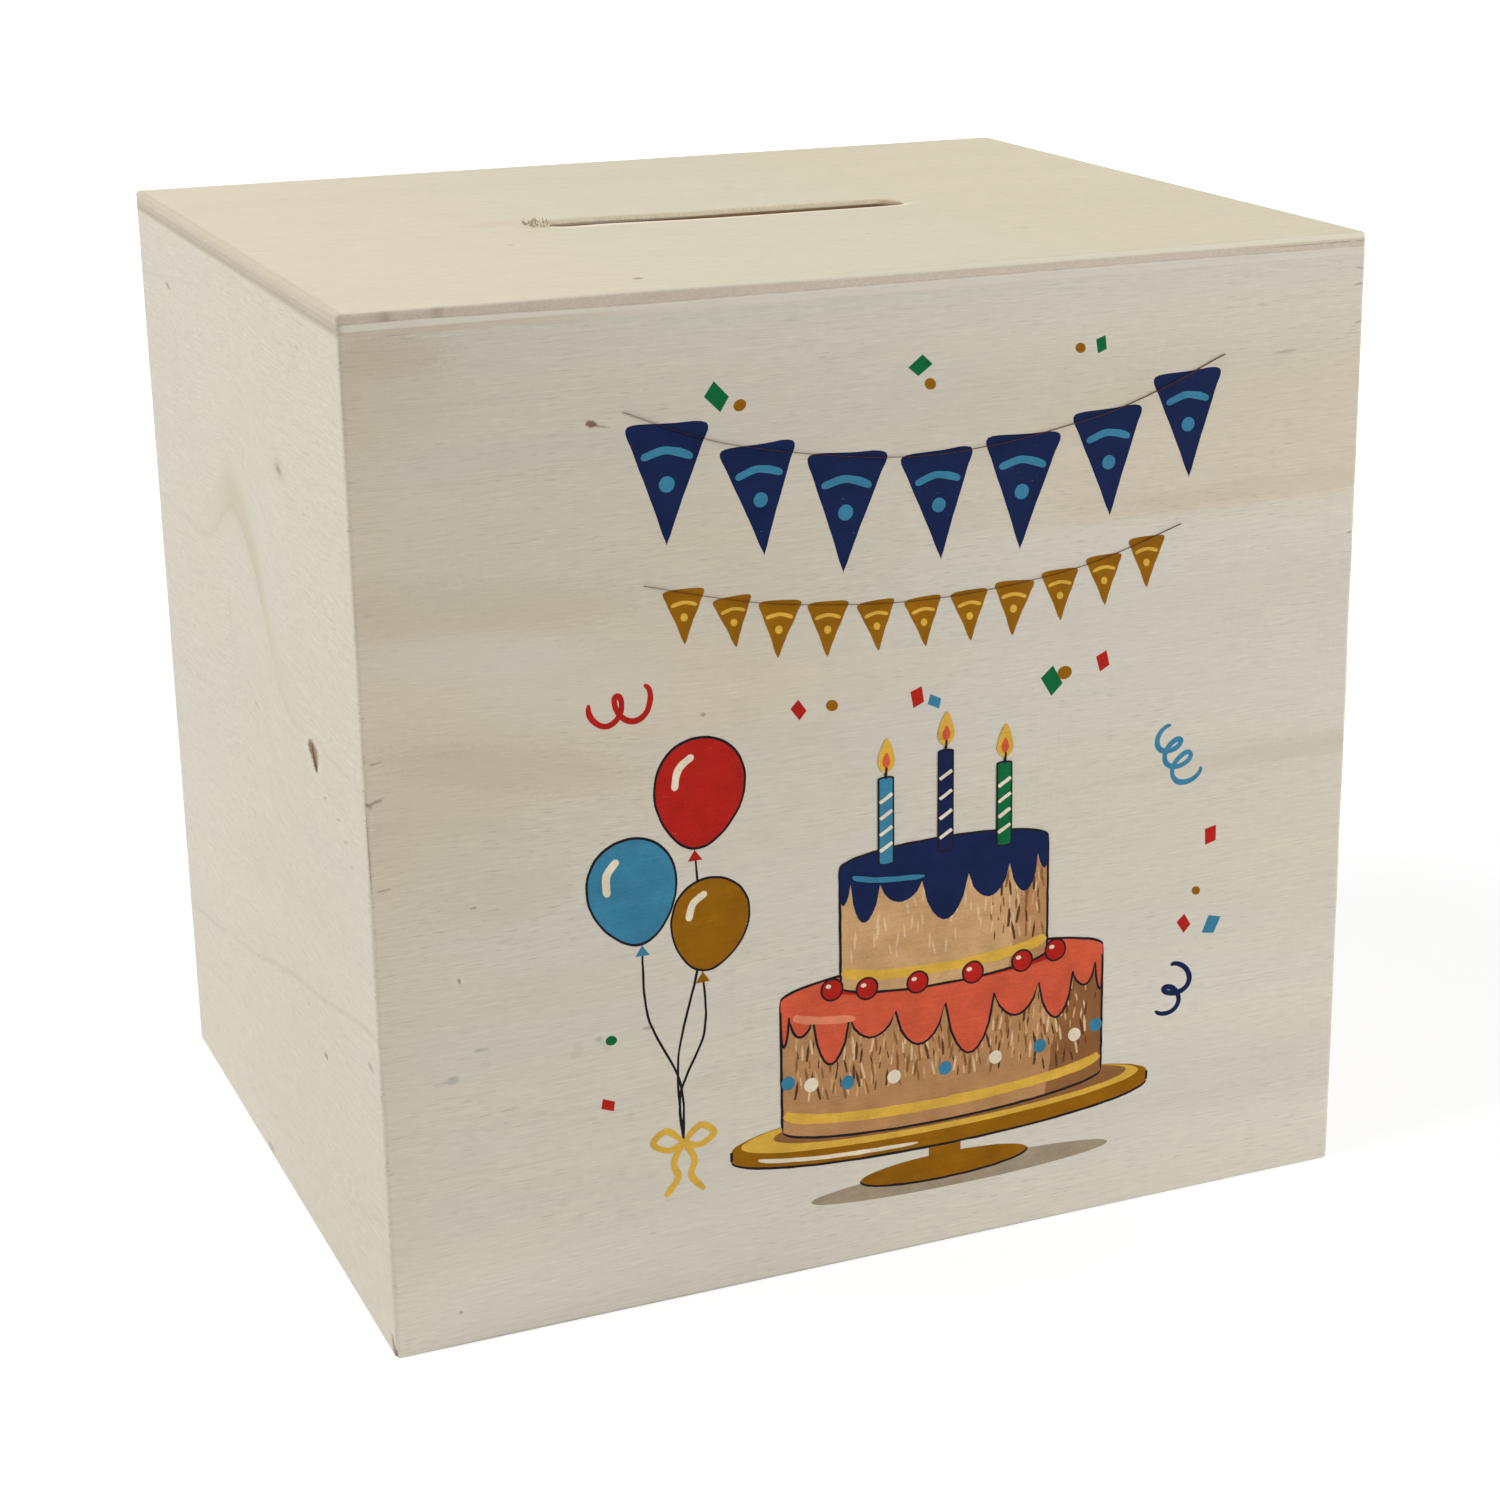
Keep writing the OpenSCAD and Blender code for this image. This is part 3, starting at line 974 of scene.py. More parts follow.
def sawn_edges(colour, x, y, z, depth, from_slot, speckle):
    """The colour with the sheet's edges laid on: a painted highlight on the front arris, the core between
    its glue lines, the lower ply and the foot. Also gives where the core shows."""
    facing_x, facing_y = end_facing(x)
    front_facing = rises(y, -84.2, -84.8)
    left_facing = rises(x, -103.2, -104.1)
    upper_ply = rises(depth, 1.2, 1.0)
    tufted = cloud(spot(x / 1.1, y / 1.1, z / 0.6), 3.0, 0.8)
    blotches = cloud(spot(x / 9, y / 9, z / 2.5), 2.0)
    colour = mixed(facing_x * 0.5 * upper_ply, colour, end_cut)
    # Painted highlight: the face ply along the front edge, where its rounded arris catches the light, is
    # mixed towards a paler colour.
    sanded = rises(facing_y, 0.05, 0.6) * upper_ply * front_facing
    colour = mixed(sanded * 0.9, colour, arris_highlight)

    # The sanding cut slantwise: towards the left end both glue lines climb.
    sanded_through = rises(x, -70, -104) * rises(y, -60, -84)
    core_top = 1.1 - sanded_through * (0.6 - front_facing * 0.35) - rises(x, 10, -60) * front_facing * 0.75
    core_top = core_top + rises(x, 40, 100) * front_facing * 0.25 + tufted * 0.08
    core_foot = 3.2 - front_facing * (0.62 + rises(x, -45, -95) * 0.6 - rises(x, 50, 104) * 0.25)
    blur = front_facing * 0.3 + 0.06
    in_core = rises(depth, core_top - blur, core_top + blur)
    in_core = in_core * rises(depth, core_foot + 0.05, core_foot - 0.05)
    core = core_wood(x, y, z, facing_y, from_slot, speckle, tufted, blotches)
    colour = mixed(in_core, colour, core)

    # The lower ply, and the smeared glue and end fibres at its foot.
    below = rises(depth, core_foot - 0.04, core_foot + 0.04)
    lower_tone = 1.02 + rises(x, 80, -90) * 0.04 + tufted * 0.07 + blotches * 0.03
    colour = mixed(below * facing_y, colour, shaded(mixed(below, end_cut, lower_ply_pale), lower_tone))
    colour = mixed(below * facing_x, colour, end_cut)
    foot_tone = mixed(rises(x, -98, -25), foot_tan, foot_pale)
    glue_top = 3.62 - rises(x, -30, -70) * 0.4
    glue_edge = rises(depth, glue_top, glue_top + 0.2) * front_facing
    colour = mixed(glue_edge, colour, shaded(foot_tone, 1.0 + tufted * 0.06 + blotches * 0.03))

    # Broken brown lines along the glue, and the upper edge of the left end, darker at its arris and lower
    # down.
    dashes = rises(cloud(spot(x / 3, y / 3, z), 2.0), -0.35, 0.2)
    upper_line = hill((depth - core_top - 0.4) / 0.10) * rises(x, 74, 90) * front_facing * dashes
    lower_line = hill((depth - core_foot) / 0.10) * (dashes * 0.3 + 0.12)
    colour = mixed(upper_line * 0.7 + lower_line, colour, line_brown)
    left_end_darkening = hill((depth - 0.2) / 0.7) * (tufted * 0.5 + 0.9) * 0.14
    left_end_darkening = left_end_darkening + rises(depth, 1.6, 2.1) * 0.12
    colour = shaded(colour, 1.0 - left_facing * left_end_darkening)
    return mixed(left_facing * rises(depth, 3.75, 4.0), colour, left_foot), in_core


def top_wood(x, y, z):
    """Colour and relief of the top sheet: calm face plies round a core of crossed grain."""
    depth = (top_high.z / mm) - z
    from_slot = outside_slot(x, y)
    torn_patch = hill((x + 43) / 3.2) * hill((y + 4) / 4.0)
    tufts = cloud(spot(x / 0.35, y / 0.8, 2.0), 2.0)
    speckle = end_grain(x, y, z)
    colour, relief = face_ply(x, y, depth)
    colour = worn_face(colour, x, y, depth, from_slot, torn_patch, tufts)
    colour, in_core = sawn_edges(colour, x, y, z, depth, from_slot, speckle)
    return colour, relief + in_core * speckle + torn_patch * tufts


top_finish, top_place = new_material("three_ply_top")
dress_wood(top_finish, top_wood(*top_place), top_bump, top_roughness)

slot_ring = slot_outline(turn_steps=36, straight_steps=130)
sheet_ring = sheet_outline(side_steps=36, long_steps=130)
top_sheet = ring_solid("top_sheet", slot_wall(slot_ring) + worn_rim(slot_ring)
                       + sheet_face(slot_ring, sheet_ring) + sheet_arris(sheet_ring)
                       + sheet_edge(sheet_ring))
top_sheet.data.materials.append(top_finish)
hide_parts("top_panel")
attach(top_sheet, "box")


# ---- Sliding floor ---------------------------------------------------------
# A 4 mm three-ply panel, sawn and left unsanded, that runs in the boards' grooves.
# Pulled out at the back, it opens the box. Only its saw-cut edges are eased.

floor_seed = 67.0
floor_saw_ease = 0.35 * mm
floor_ply = (floor_high.z - floor_low.z) / mm / 3
unsanded_pale = paint(206, 192, 166)
unsanded_warm = paint(196, 176, 146)
unsanded_bump = 0.03 * mm
unsanded_roughness = 0.85


def lying_panel(name, low, high, ease, seed):
    """A flat panel as two grids, its upper and lower face, joined round its sawn edges."""
    columns = graded(low.x, high.x, edge=2 * ease, fine=ease / 2, coarse=4 * mm)
    rows = graded(low.y, high.y, edge=2 * ease, fine=ease / 2, coarse=4 * mm)
    points = []
    for upper in (True, False):
        for y in rows:
            for x in columns:
                to_x_edge = min(x - low.x, high.x - x)
                to_y_edge = min(y - low.y, high.y - y)
                drop = max(foot_inset(to_x_edge, ease), foot_inset(to_y_edge, ease))
                saw = 0.06 * mm * (1 + noise.noise(Vector((x * 300, y * 300, seed))))
                inward_x = math.copysign(saw, x) if to_x_edge == 0 else 0.0
                inward_y = math.copysign(saw, y) if to_y_edge == 0 else 0.0
                level = high.z - drop if upper else low.z + drop
                points.append((x - inward_x, y - inward_y, level))
    return solid_from(name, points, two_grids(len(columns), len(rows)))


floor_marks = (
    ((38.0, -22.0), (2.4, 1.9), 0, 0.85, knot_brown),
    ((42.5, -22.6), (4.0, 0.6), -6, 0.40, knot_brown),
    ((-61.0, 30.0), (1.2, 0.8), 0, 0.60, knot_brown),
    ((-12.0, 55.0), (5.0, 0.6), 3, 0.35, stain_grey),
    ((70.0, 48.0), (3.0, 0.5), -4, 0.40, tick_brown),
    ((-80.0, -40.0), (3.4, 0.5), 4, 0.40, tick_brown),
)


def floor_wood(x, y, z):
    """Dry unsanded ply: coarse open fibres, and the crossed ply dark at the sawn edges."""
    depth = floor_high.z / mm - z
    figure = y + cloud(spot(x / 140, y / 60, floor_seed), 1.0) * 13
    bands, streaks, fibres, pores = veneer(x, y, figure, depth, floor_seed)
    warmth = rises(bands + streaks * 0.4, -0.5, 0.6)
    colour = mixed(warmth, unsanded_pale, unsanded_warm)
    colour = shaded(colour, 1.0 + bands * 0.08 + streaks * 0.07 + fibres * 0.2 - pores * 0.25)
    face = spot(x, y)
    ragged = cloud(spot(x / 0.9, y / 0.6, floor_seed), 1.0) * 0.5
    colour = marked(colour, face, ragged, floor_marks)
    speckle = end_grain(x, y, z) * 0.25
    return cut_edges(colour, depth, floor_ply, 3, speckle), fibres + streaks * 0.5 - pores


floor_finish, floor_place = new_material("unsanded_floor_ply")
dress_wood(floor_finish, floor_wood(*floor_place), unsanded_bump, unsanded_roughness)

floor_panel = lying_panel("floor_board", floor_low, floor_high, floor_saw_ease, floor_seed)
floor_panel.data.materials.append(floor_finish)
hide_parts("floor_panel")
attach(floor_panel, "sliding_floor")


# ---- Pull strip ------------------------------------------------------------
# A strip of solid poplar glued along the floor panel's rear edge, which rests in
# its rebate. It closes the back below the back board, mitred to meet the side
# boards, and a flat arch under it takes a fingertip.

strip_low, strip_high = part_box("pull_strip")
strip_back = strip_high.y - 1 * mm
strip_seed = 83.0
strip_ease = 0.45 * mm
notch_width = 36 * mm
notch_height = 3 * mm
notch_radius = (notch_width ** 2 / 4 + notch_height ** 2) / (2 * notch_height)
strip_pale = paint(217, 204, 178)
strip_warm = paint(203, 184, 151)
strip_bump = 0.02 * mm


def eased_corners(corners, radius, steps):
    """A closed outline whose corners are rounded, as (y, z) points."""
    outline = []
    for k, corner in enumerate(corners):
        before = (corners[k - 1] - corner).normalized()
        after = (corners[(k + 1) % len(corners)] - corner).normalized()
        for step in range(steps + 1):
            share = step / steps
            pull = before * (1 - share) ** 2 + after * share ** 2
            outline.append(corner + pull * radius)
    return outline


def strip_section():
    """The strip's outline across its length: its foot, its back and the rebate for the panel."""
    rebate_y = floor_high.y
    corners = [
        Vector((strip_low.y, strip_low.z)),
        Vector((strip_high.y, strip_low.z)),
        Vector((strip_high.y, strip_high.z)),
        Vector((rebate_y, strip_high.z)),
        Vector((rebate_y, floor_low.z)),
        Vector((strip_low.y, floor_low.z)),
    ]
    return eased_corners(corners, strip_ease, 5)


def strip_mesh(name):
    """The section drawn along x, raised over the finger notch and mitred at both ends."""
    section = strip_section()
    stations = graded(-1.0, 1.0, edge=0.01, fine=0.002, coarse=0.0125)
    points = []
    for share in stations:
        for y, z in section:
            half = strip_high.x - (strip_high.y - y)
            x = share * half
            off_middle = min(abs(x), notch_width / 2)
            lift = notch_height - notch_radius + math.sqrt(notch_radius ** 2 - off_middle ** 2)
            near_foot = max(0.0, 1 - (z - strip_low.z) / (floor_low.z - strip_low.z))
            nibble = 0.05 * mm * noise.noise(Vector((x * 500, y * 500, z * 500)))
            points.append((x, y - abs(nibble) if y > strip_back else y, z + lift * near_foot))
    around = len(section)
    faces = [tuple(range(around))[::-1]]
    for r in range(len(stations) - 1):
        for k in range(around):
            ahead = (k + 1) % around
            a, b = r * around, (r + 1) * around
            faces.append((a + k, a + ahead, b + ahead, b + k))
    faces.append(tuple((len(stations) - 1) * around + k for k in range(around)))
    return solid_from(name, points, faces)


def strip_wood(x, y, z):
    """Solid wood with straight grain along the strip, and its rings cut across at the mitres."""
    rings = cloud(spot(x / 400, y / 1.6, z / 2.4 + strip_seed), 2.0)
    fibres = cloud(spot(x / 5, y / 0.4, z / 0.4), 2.0, 0.7)
    pores = rises(cloud(spot(x / 4, y / 0.35, z / 0.35), 0.0), 0.32, 0.6)
    colour = mixed(rises(rings, -0.6, 0.6), strip_pale, strip_warm)
    colour = shaded(colour, 1.0 + rings * 0.06 + fibres * 0.14 - pores * 0.18)
    face = spot(x, z)
    ragged = cloud(spot(x / 0.9, z / 0.6, strip_seed), 1.0) * 0.5
    thumbed = hill(x / 15) * rises(z, 6.5, 2.5) * rises(y, 79, 85)
    knot = oval(face, (47.0, 5.4), (1.8, 1.2), 0, ragged)
    colour = mixed(knot * 0.85, colour, knot_brown)
    colour = mixed(thumbed * 0.16, colour, tick_brown)
    return colour, fibres - pores


strip_finish, strip_place = new_material("poplar_strip")
dress_wood(strip_finish, strip_wood(*strip_place), strip_bump, sanded_roughness)

pull_strip = strip_mesh("floor_pull")
pull_strip.data.materials.append(strip_finish)
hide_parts("pull_strip")
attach(pull_strip, "sliding_floor")


# ---- Printed motif ---------------------------------------------------------
# A party scene printed flat on the front board: a cake on its stand, balloons, two
# garlands and confetti. Each pass of ink is a closed film, thinner than a hair,
# and the fibres of the wood show through it.

ink_film = 0.006 * mm
ink_bite = 0.008 * mm
ink_bump = 0.012 * mm
ink_roughness = 0.7
ink_specular = 0.08
thin_line = 0.5
edge_line = 0.55
ink_navy = paint(20, 34, 74)
ink_ochre = paint(150, 98, 8)
ink_green = paint(12, 104, 58)
ink_red = paint(182, 34, 26)
ink_teal = paint(62, 130, 160)
ink_tan = paint(206, 164, 116)
ink_brown = paint(146, 98, 58)
ink_umber = paint(96, 62, 40)
ink_coral = paint(214, 92, 62)
ink_gold = paint(222, 176, 70)
ink_cream = paint(236, 222, 196)
ink_sponge = paint(186, 138, 92)
ink_wheat = paint(224, 190, 148)
ink_blush = paint(232, 138, 104)
ink_line = paint(30, 26, 30)
ink_shadow = paint(168, 152, 128)


def smooth_line(places, closed=False, steps=10):
    """A curve through the places, as (x, z) points in millimetres."""
    places = [Vector(place) for place in places]
    count = len(places)
    line = []
    for k in range(count if closed else count - 1):
        ring = [k - 1, k, k + 1, k + 2]
        if closed:
            ring = [n % count for n in ring]
        ring = [min(count - 1, max(0, n)) for n in ring]
        before, start, end, after = (places[n] for n in ring)
        for step in range(steps):
            t = step / steps
            bend = (end - before) * t + (before * 2 - start * 5 + end * 4 - after) * t ** 2
            bend += (start * 3 - before - end * 3 + after) * t ** 3
            line.append(start + bend / 2)
    return line if closed else line + [places[-1]]


def arc(middle, reach_x, reach_z, start=0, end=360, steps=48):
    """Points on an ellipse between two angles; a whole turn closes on itself."""
    whole = abs(end - start) == 360
    angles = [math.radians(start + (end - start) * k / steps) for k in range(steps + (not whole))]
    return [Vector((middle[0] + reach_x * math.cos(a), middle[1] + reach_z * math.sin(a))) for a in angles]


def brush_stroke(line, width, tips=0.35):
    """A stroke along a line, as its left and right edge: full width, drawn in at its tips."""
    left, right = [], []
    last = len(line) - 1
    for k, place in enumerate(line):
        ahead = (line[min(last, k + 1)] - line[max(0, k - 1)]).normalized()
        across = Vector((-ahead.y, ahead.x))
        share = min(k, last - k) / last
        press = tips + (1 - tips) * min(1.0, share / 0.12) ** 0.5
        press *= 1 + 0.16 * noise.noise(Vector((place.x / 3, place.y / 3, width * 9)))
        left.append(place + across * width / 2 * press)
        right.append(place - across * width / 2 * press)
    return left, right


def hand_cut(outline, wobble=0.10):
    """The outline with the small unevenness of a hand-cut stencil."""
    drawn = []
    for place in outline:
        where = Vector((place[0] / 2.2, place[1] / 2.2, 0))
        shift = Vector((noise.noise(where), noise.noise(where + Vector((0, 0, 40)))))
        drawn.append(Vector(place) + shift * wobble)
    return drawn


def film_faces(drawn, stroke):
    """Triangles over an outline, or quads from edge to edge along a stroke."""
    count = len(drawn)
    if stroke:
        return [(k, k + 1, count - 2 - k, count - 1 - k) for k in range(count // 2 - 1)]
    faces = []
    for corners in geometry.tessellate_polygon([[place.to_3d() for place in drawn]]):
        a, b, c = (drawn[n] for n in corners)
        faces.append(corners if (b - a).cross(c - a) > 0 else corners[::-1])
    return faces


def ink_films(name, passes, wall=-half_depth):
    """Closed films on a wall, pass over pass. A pass is a list of (shape, colour); a shape is
    an outline or a stroke, and only a stroke may cross itself."""
    points, faces, colours = [], [], []
    for number, shapes in enumerate(passes):
        for shape, colour in shapes:
            stroke = isinstance(shape, tuple)
            drawn = hand_cut(shape[1] + shape[0][::-1] if stroke else shape)
            if not stroke and sum(a.cross(b) for a, b in zip(drawn, drawn[1:] + drawn[:1])) < 0:
                drawn.reverse()
            count, first = len(drawn), len(points)
            for k, place in enumerate(drawn):
                raised = min(k, count - 1 - k) / count if stroke else 0.0
                points.append((place.x * mm, wall - ink_film * (number + 1 + raised), place.y * mm))
            points += [(place.x * mm, wall + ink_bite, place.y * mm) for place in drawn]
            colours += [colour] * (2 * count)
            for corners in film_faces(drawn, stroke):
                faces.append(tuple(first + n for n in corners))
                faces.append(tuple(first + count + n for n in corners[::-1]))
            for k in range(count):
                ahead = (k + 1) % count
                faces.append((first + k, first + count + k, first + count + ahead, first + ahead))
    made = solid_from(name, points, faces)
    made.data.shade_flat()
    layer = made.data.color_attributes.new("ink", "FLOAT_COLOR", "POINT")
    layer.data.foreach_set("color", [part for colour in colours for part in colour])
    return made


def ink_wood(x, y, z):
    """Ink that has sunk into the wood: mottled like watercolour, thin over open pores."""
    tree = x.socket.id_data
    ink = tree.nodes.new("ShaderNodeVertexColor")
    ink.layer_name = "ink"
    fibres, pores = veneer(x, z, z, y, front_seed)[2:]
    wash = cloud(spot(x / 7, z / 7, 5.0), 3.0, 0.6)
    grit = cloud(spot(x / 0.7, z / 0.5, 8.0), 2.0, 0.7)
    colour = shaded(Field(ink.outputs["Color"]), 1.0 + wash * 0.34 + grit * 0.16 + fibres * 0.2)
    bare = rises(grit + pores * 0.6, 0.5, 0.9) * 0.22
    colour = mixed(bare, colour, sapwood_warm)
    return colour, fibres - pores + grit * 0.3


ink_finish, ink_place = new_material("print_ink")
dress_wood(ink_finish, ink_wood(*ink_place), ink_bump, ink_roughness, specular=ink_specular)


def on_front(made):
    """Puts a printed piece on the front board with the ink's material."""
    made.data.materials.clear()
    made.data.materials.append(ink_finish)
    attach(made, "box")


def drum(middle, low, high, reach, tilt):
    """The outline of a round tier seen from slightly above."""
    return arc((middle, low), reach, tilt, 180, 360, 30) + arc((middle, high), reach, tilt, 0, 180, 30)


tongue_steps = 9
icing_lip = 2.2


def drips(middle, high, reach, tilt, lengths):
    """The outline of icing poured over a tier, with a tongue for each length."""
    lower = []
    total = len(lengths) * tongue_steps
    for k in range(total + 1):
        angle = math.radians(180 + 180 * k / total)
        rim = high + tilt * math.sin(angle)
        length = lengths[min(len(lengths) - 1, k // tongue_steps)]
        tongue = math.sin(math.pi * (k % tongue_steps) / tongue_steps) ** 0.6
        lower.append(Vector((middle + reach * math.cos(angle), rim - icing_lip - length * tongue)))
    return lower + arc((middle, high), reach, tilt, 0, 180, 30)


cake_x = 12.0
lower_rim, lower_reach, lower_tilt = 60.0, 36.0, 4.4
upper_rim, upper_reach, upper_tilt = 86.0, 23.0, 3.2
lower_tier = (cake_x, 32.0, lower_rim, lower_reach, lower_tilt)
upper_tier = (cake_x, 61.0, upper_rim, upper_reach, upper_tilt)
stand_plate = (cake_x, 27.6, 29.6, 47.0, 5.4)
lower_drips = (7, 4, 10, 5, 8, 12, 6, 9, 4, 7)
upper_drips = (5, 8, 4, 9, 6, 7, 4)
candles = ((-1.0, 17.5, ink_teal), (12.0, 20.5, ink_navy), (25.0, 17.0, ink_green))


def tier_edges(middle, low, high, reach, tilt):
    """Dark lines down both sides of a tier and round its foot."""
    lines = []
    for side in (-1, 1):
        edge = [(middle + side * reach, level) for level in (high, (low + high) / 2, low)]
        lines.append((brush_stroke(smooth_line(edge), edge_line), ink_line))
    lines.append((brush_stroke(arc((middle, low), reach, tilt, 182, 358, 60), edge_line), ink_line))
    return lines


def ring_band(middle, level, reach, tilt, width, colour):
    """A ribbon laid round the front of a tier."""
    return (brush_stroke(arc((middle, level), reach - 0.4, tilt, 186, 354, 44), width, 0.6), colour)


def shade_side(middle, low, high, reach, tilt, colour):
    """The darker right side of a tier, with a soft wavering edge."""
    turn = 312
    edge_x = middle + reach * math.cos(math.radians(turn))
    edge = [(edge_x, high), (edge_x + 1.6, high * 0.6 + low * 0.4), (edge_x - 1.2, low - tilt * 0.7)]
    foot = arc((middle, low), reach, tilt, turn, 360, 14)
    return (smooth_line(edge, steps=8) + foot + [Vector((middle + reach, high))], colour)


def on_ring(middle, level, reach, tilt, start, step, count):
    """Places at even angles round the front of a tier."""
    angles = [math.radians(start + step * k) for k in range(count)]
    return [Vector((middle + reach * math.cos(a), level + tilt * math.sin(a))) for a in angles]


def cake_passes():
    """Stand, tiers, icing and berries, from the lowest pass up."""
    x = cake_x
    beads = on_ring(x, 43.5, lower_reach, lower_tilt, 196, 18.5, 9)
    berries = on_ring(x, 62.0, 27.5, 3.0, 205, 26, 6)
    lower_icing = drips(x, lower_rim, lower_reach, lower_tilt, lower_drips)
    upper_icing = drips(x, upper_rim, upper_reach, upper_tilt, upper_drips)
    lower_run = lower_icing[:tongue_steps * len(lower_drips) + 1]
    return [
        [(arc((x + 4, 15.0), 34, 2.6), ink_shadow)],
        [(arc((x, 17.4), 19, 2.8), ink_ochre)],
        [(brush_stroke(arc((x, 17.4), 19, 2.8, 178, 362, 50), thin_line), ink_line)],
        [(drum(x, 17.5, 26.0, 3.6, 0.8), ink_ochre)],
        [(drum(*stand_plate), ink_ochre)],
        tier_edges(*stand_plate),
        [(brush_stroke(arc((x, 28.4), 44, 4.8, 200, 262, 30), 0.9), ink_cream)],
        [(arc((x, 30.2), 45, 4.6), ink_gold)],
        [(arc((x + 2, 30.8), 40, 3.9), ink_brown)],
        [(drum(*lower_tier), ink_sponge)],
        [shade_side(*lower_tier, ink_brown)],
        tier_edges(*lower_tier),
        [ring_band(x, 36.0, lower_reach, lower_tilt, 2.2, ink_gold)],
        [(arc(place, 1.5, 1.5, steps=18), (ink_teal, ink_cream)[k % 2]) for k, place in enumerate(beads)],
        [(lower_icing, ink_coral)],
        [
            (brush_stroke(lower_run, thin_line, 0.8), ink_line),
            (brush_stroke(arc((x, lower_rim), lower_reach, lower_tilt, 0, 180, 50), thin_line), ink_line),
        ],
        [(brush_stroke(arc((x - 2, 57.0), 32, 4.0, 192, 236, 24), 1.6), ink_blush)],
        [(arc((x + 1, 60.6), 26, 3.1), ink_red)],
        [(drum(*upper_tier), ink_tan)],
        [shade_side(*upper_tier, ink_sponge)],
        tier_edges(*upper_tier),
        [ring_band(x, 64.6, upper_reach, upper_tilt, 2.2, ink_gold)],
        [(upper_icing, ink_navy)],
        [(brush_stroke(arc((x, upper_rim), upper_reach, upper_tilt, 0, 180, 50), 0.4), ink_line)],
        [(brush_stroke(arc((x - 2, 84.6), 19, 3.0, 196, 262, 24), 1.1), ink_teal)],
        [(arc(place, 2.5, 2.5, steps=24), ink_line) for place in berries],
        [(arc(place, 2.1, 2.1, steps=24), ink_red) for place in berries],
        [(arc(place + Vector((-0.8, 0.8)), 0.6, 0.45, steps=12), ink_cream) for place in berries],
    ]


def candle_passes():
    """Striped candles with a wick and a flame each."""
    outer, inner, stripes, flames, glows, wicks = [], [], [], [], [], []
    for x, height, colour in candles:
        foot = 86.5 - abs(x - cake_x) * 0.06
        wick = foot + height
        outer.append((drum(x, foot, wick, 1.75, 0.5), ink_line))
        inner.append((drum(x, foot + 0.2, wick - 0.2, 1.4, 0.4), colour))
        for k in range(4):
            rise = foot + 2.5 + k * (height - 4) / 4
            band = smooth_line([(x - 1.35, rise), (x + 1.35, rise + 1.6)], steps=8)
            stripes.append((brush_stroke(band, 0.75, 0.8), ink_cream))
        flame = [(x, wick + 1.2), (x + 1.9, wick + 3.4), (x + 0.3, wick + 8.2), (x - 1.7, wick + 3.6)]
        glow = [(x, wick + 2.2), (x + 0.9, wick + 3.4), (x + 0.2, wick + 5.4), (x - 0.8, wick + 3.6)]
        flames.append((smooth_line(flame, closed=True), ink_gold))
        glows.append((smooth_line(glow, closed=True), ink_coral))
        wicks.append((brush_stroke(smooth_line([(x, wick), (x + 0.2, wick + 2.4)]), thin_line), ink_line))
    return [outer, inner, stripes, flames, glows, wicks]


balloons = (
    # middle, half width, half height, lean in degrees, colour
    ((-40.0, 106.0), 9.4, 11.4, -6, ink_red),
    ((-54.0, 88.0), 9.2, 11.2, 8, ink_teal),
    ((-38.5, 79.0), 8.2, 9.8, -10, ink_ochre),
)
strings_meet = Vector((-45.0, 34.0))


def balloon_passes():
    """Balloons with a dark line round them, a paler cheek, a knot and a string each."""
    strings, knots, outer, inner, gleams, bows = [], [], [], [], [], []
    for centre, wide, high, lean, colour in balloons:
        turn = Matrix.Rotation(math.radians(lean), 2)
        middle = Vector(centre)
        body = []
        for place in arc((0, 0), 1, 1, steps=64):
            belly = 1 + 0.13 * place.y - 0.10 * max(0.0, -place.y) ** 2
            body.append(turn @ Vector((place.x * belly * wide, place.y * high)))
        outer.append(([middle + place for place in body], ink_line))
        inner.append(([middle + place * 0.95 for place in body], colour))
        gleam = [(-wide * 0.55, high * 0.05), (-wide * 0.5, high * 0.42), (-wide * 0.2, high * 0.66)]
        gleam = smooth_line([middle + turn @ Vector(place) for place in gleam])
        gleams.append((brush_stroke(gleam, 1.5, 0.2), ink_cream))
        knot = middle + turn @ Vector((0, -high))
        knots.append(([knot, knot + Vector((1.5, -2.2)), knot + Vector((-1.5, -2.2))], colour))
        sway = Vector((1.8 if lean < 0 else -1.8, 0))
        bends = [knot.lerp(strings_meet, 0.35) + sway, knot.lerp(strings_meet, 0.7) - sway]
        string = smooth_line([knot, *bends, strings_meet], steps=16)
        strings.append([(brush_stroke(string, thin_line), ink_line)])
    for side in (-1, 1):
        loop = [(0, 0), (side * 3.6, 3.0), (side * 6.4, 0.8), (side * 3.2, -1.2), (0, 0)]
        tail = [(0, 0), (side * 2.2, -4.0), (side * 1.4, -7.5), (side * 4.2, -11)]
        for line in (loop, tail):
            bow = smooth_line([strings_meet + Vector(place) for place in line], steps=14)
            bows.append([(brush_stroke(bow, 1.3), ink_gold)])
    return strings + [knots, outer, inner, gleams] + bows


def streamer(start, reach, curls, lean, size):
    """A curled paper streamer: loops along a leaning line, opening towards its end."""
    line = []
    steps = 26 * curls
    heading = Matrix.Rotation(math.radians(lean), 2)
    for k in range(steps + 1):
        t = k / steps
        angle = math.tau * curls * t + math.pi / 2
        loop = Vector((math.cos(angle), math.sin(angle) * 1.5)) * size * (0.7 + 0.3 * t)
        line.append(Vector(start) + heading @ (Vector((reach * t, 0)) + loop))
    return brush_stroke(line, 1.15, 0.5)


on_front(ink_films("print_cake", cake_passes() + candle_passes()))
on_front(ink_films("print_balloons", balloon_passes()))
on_front(ink_films("print_streamers", [[
    (streamer((61.0, 104.0), 12, 3, -58, 2.1), ink_teal),
    (streamer((-61.0, 124.0), 11, 2, 8, 2.2), ink_red),
    (streamer((63.0, 42.0), 10, 2, 66, 2.0), ink_navy),
]]))


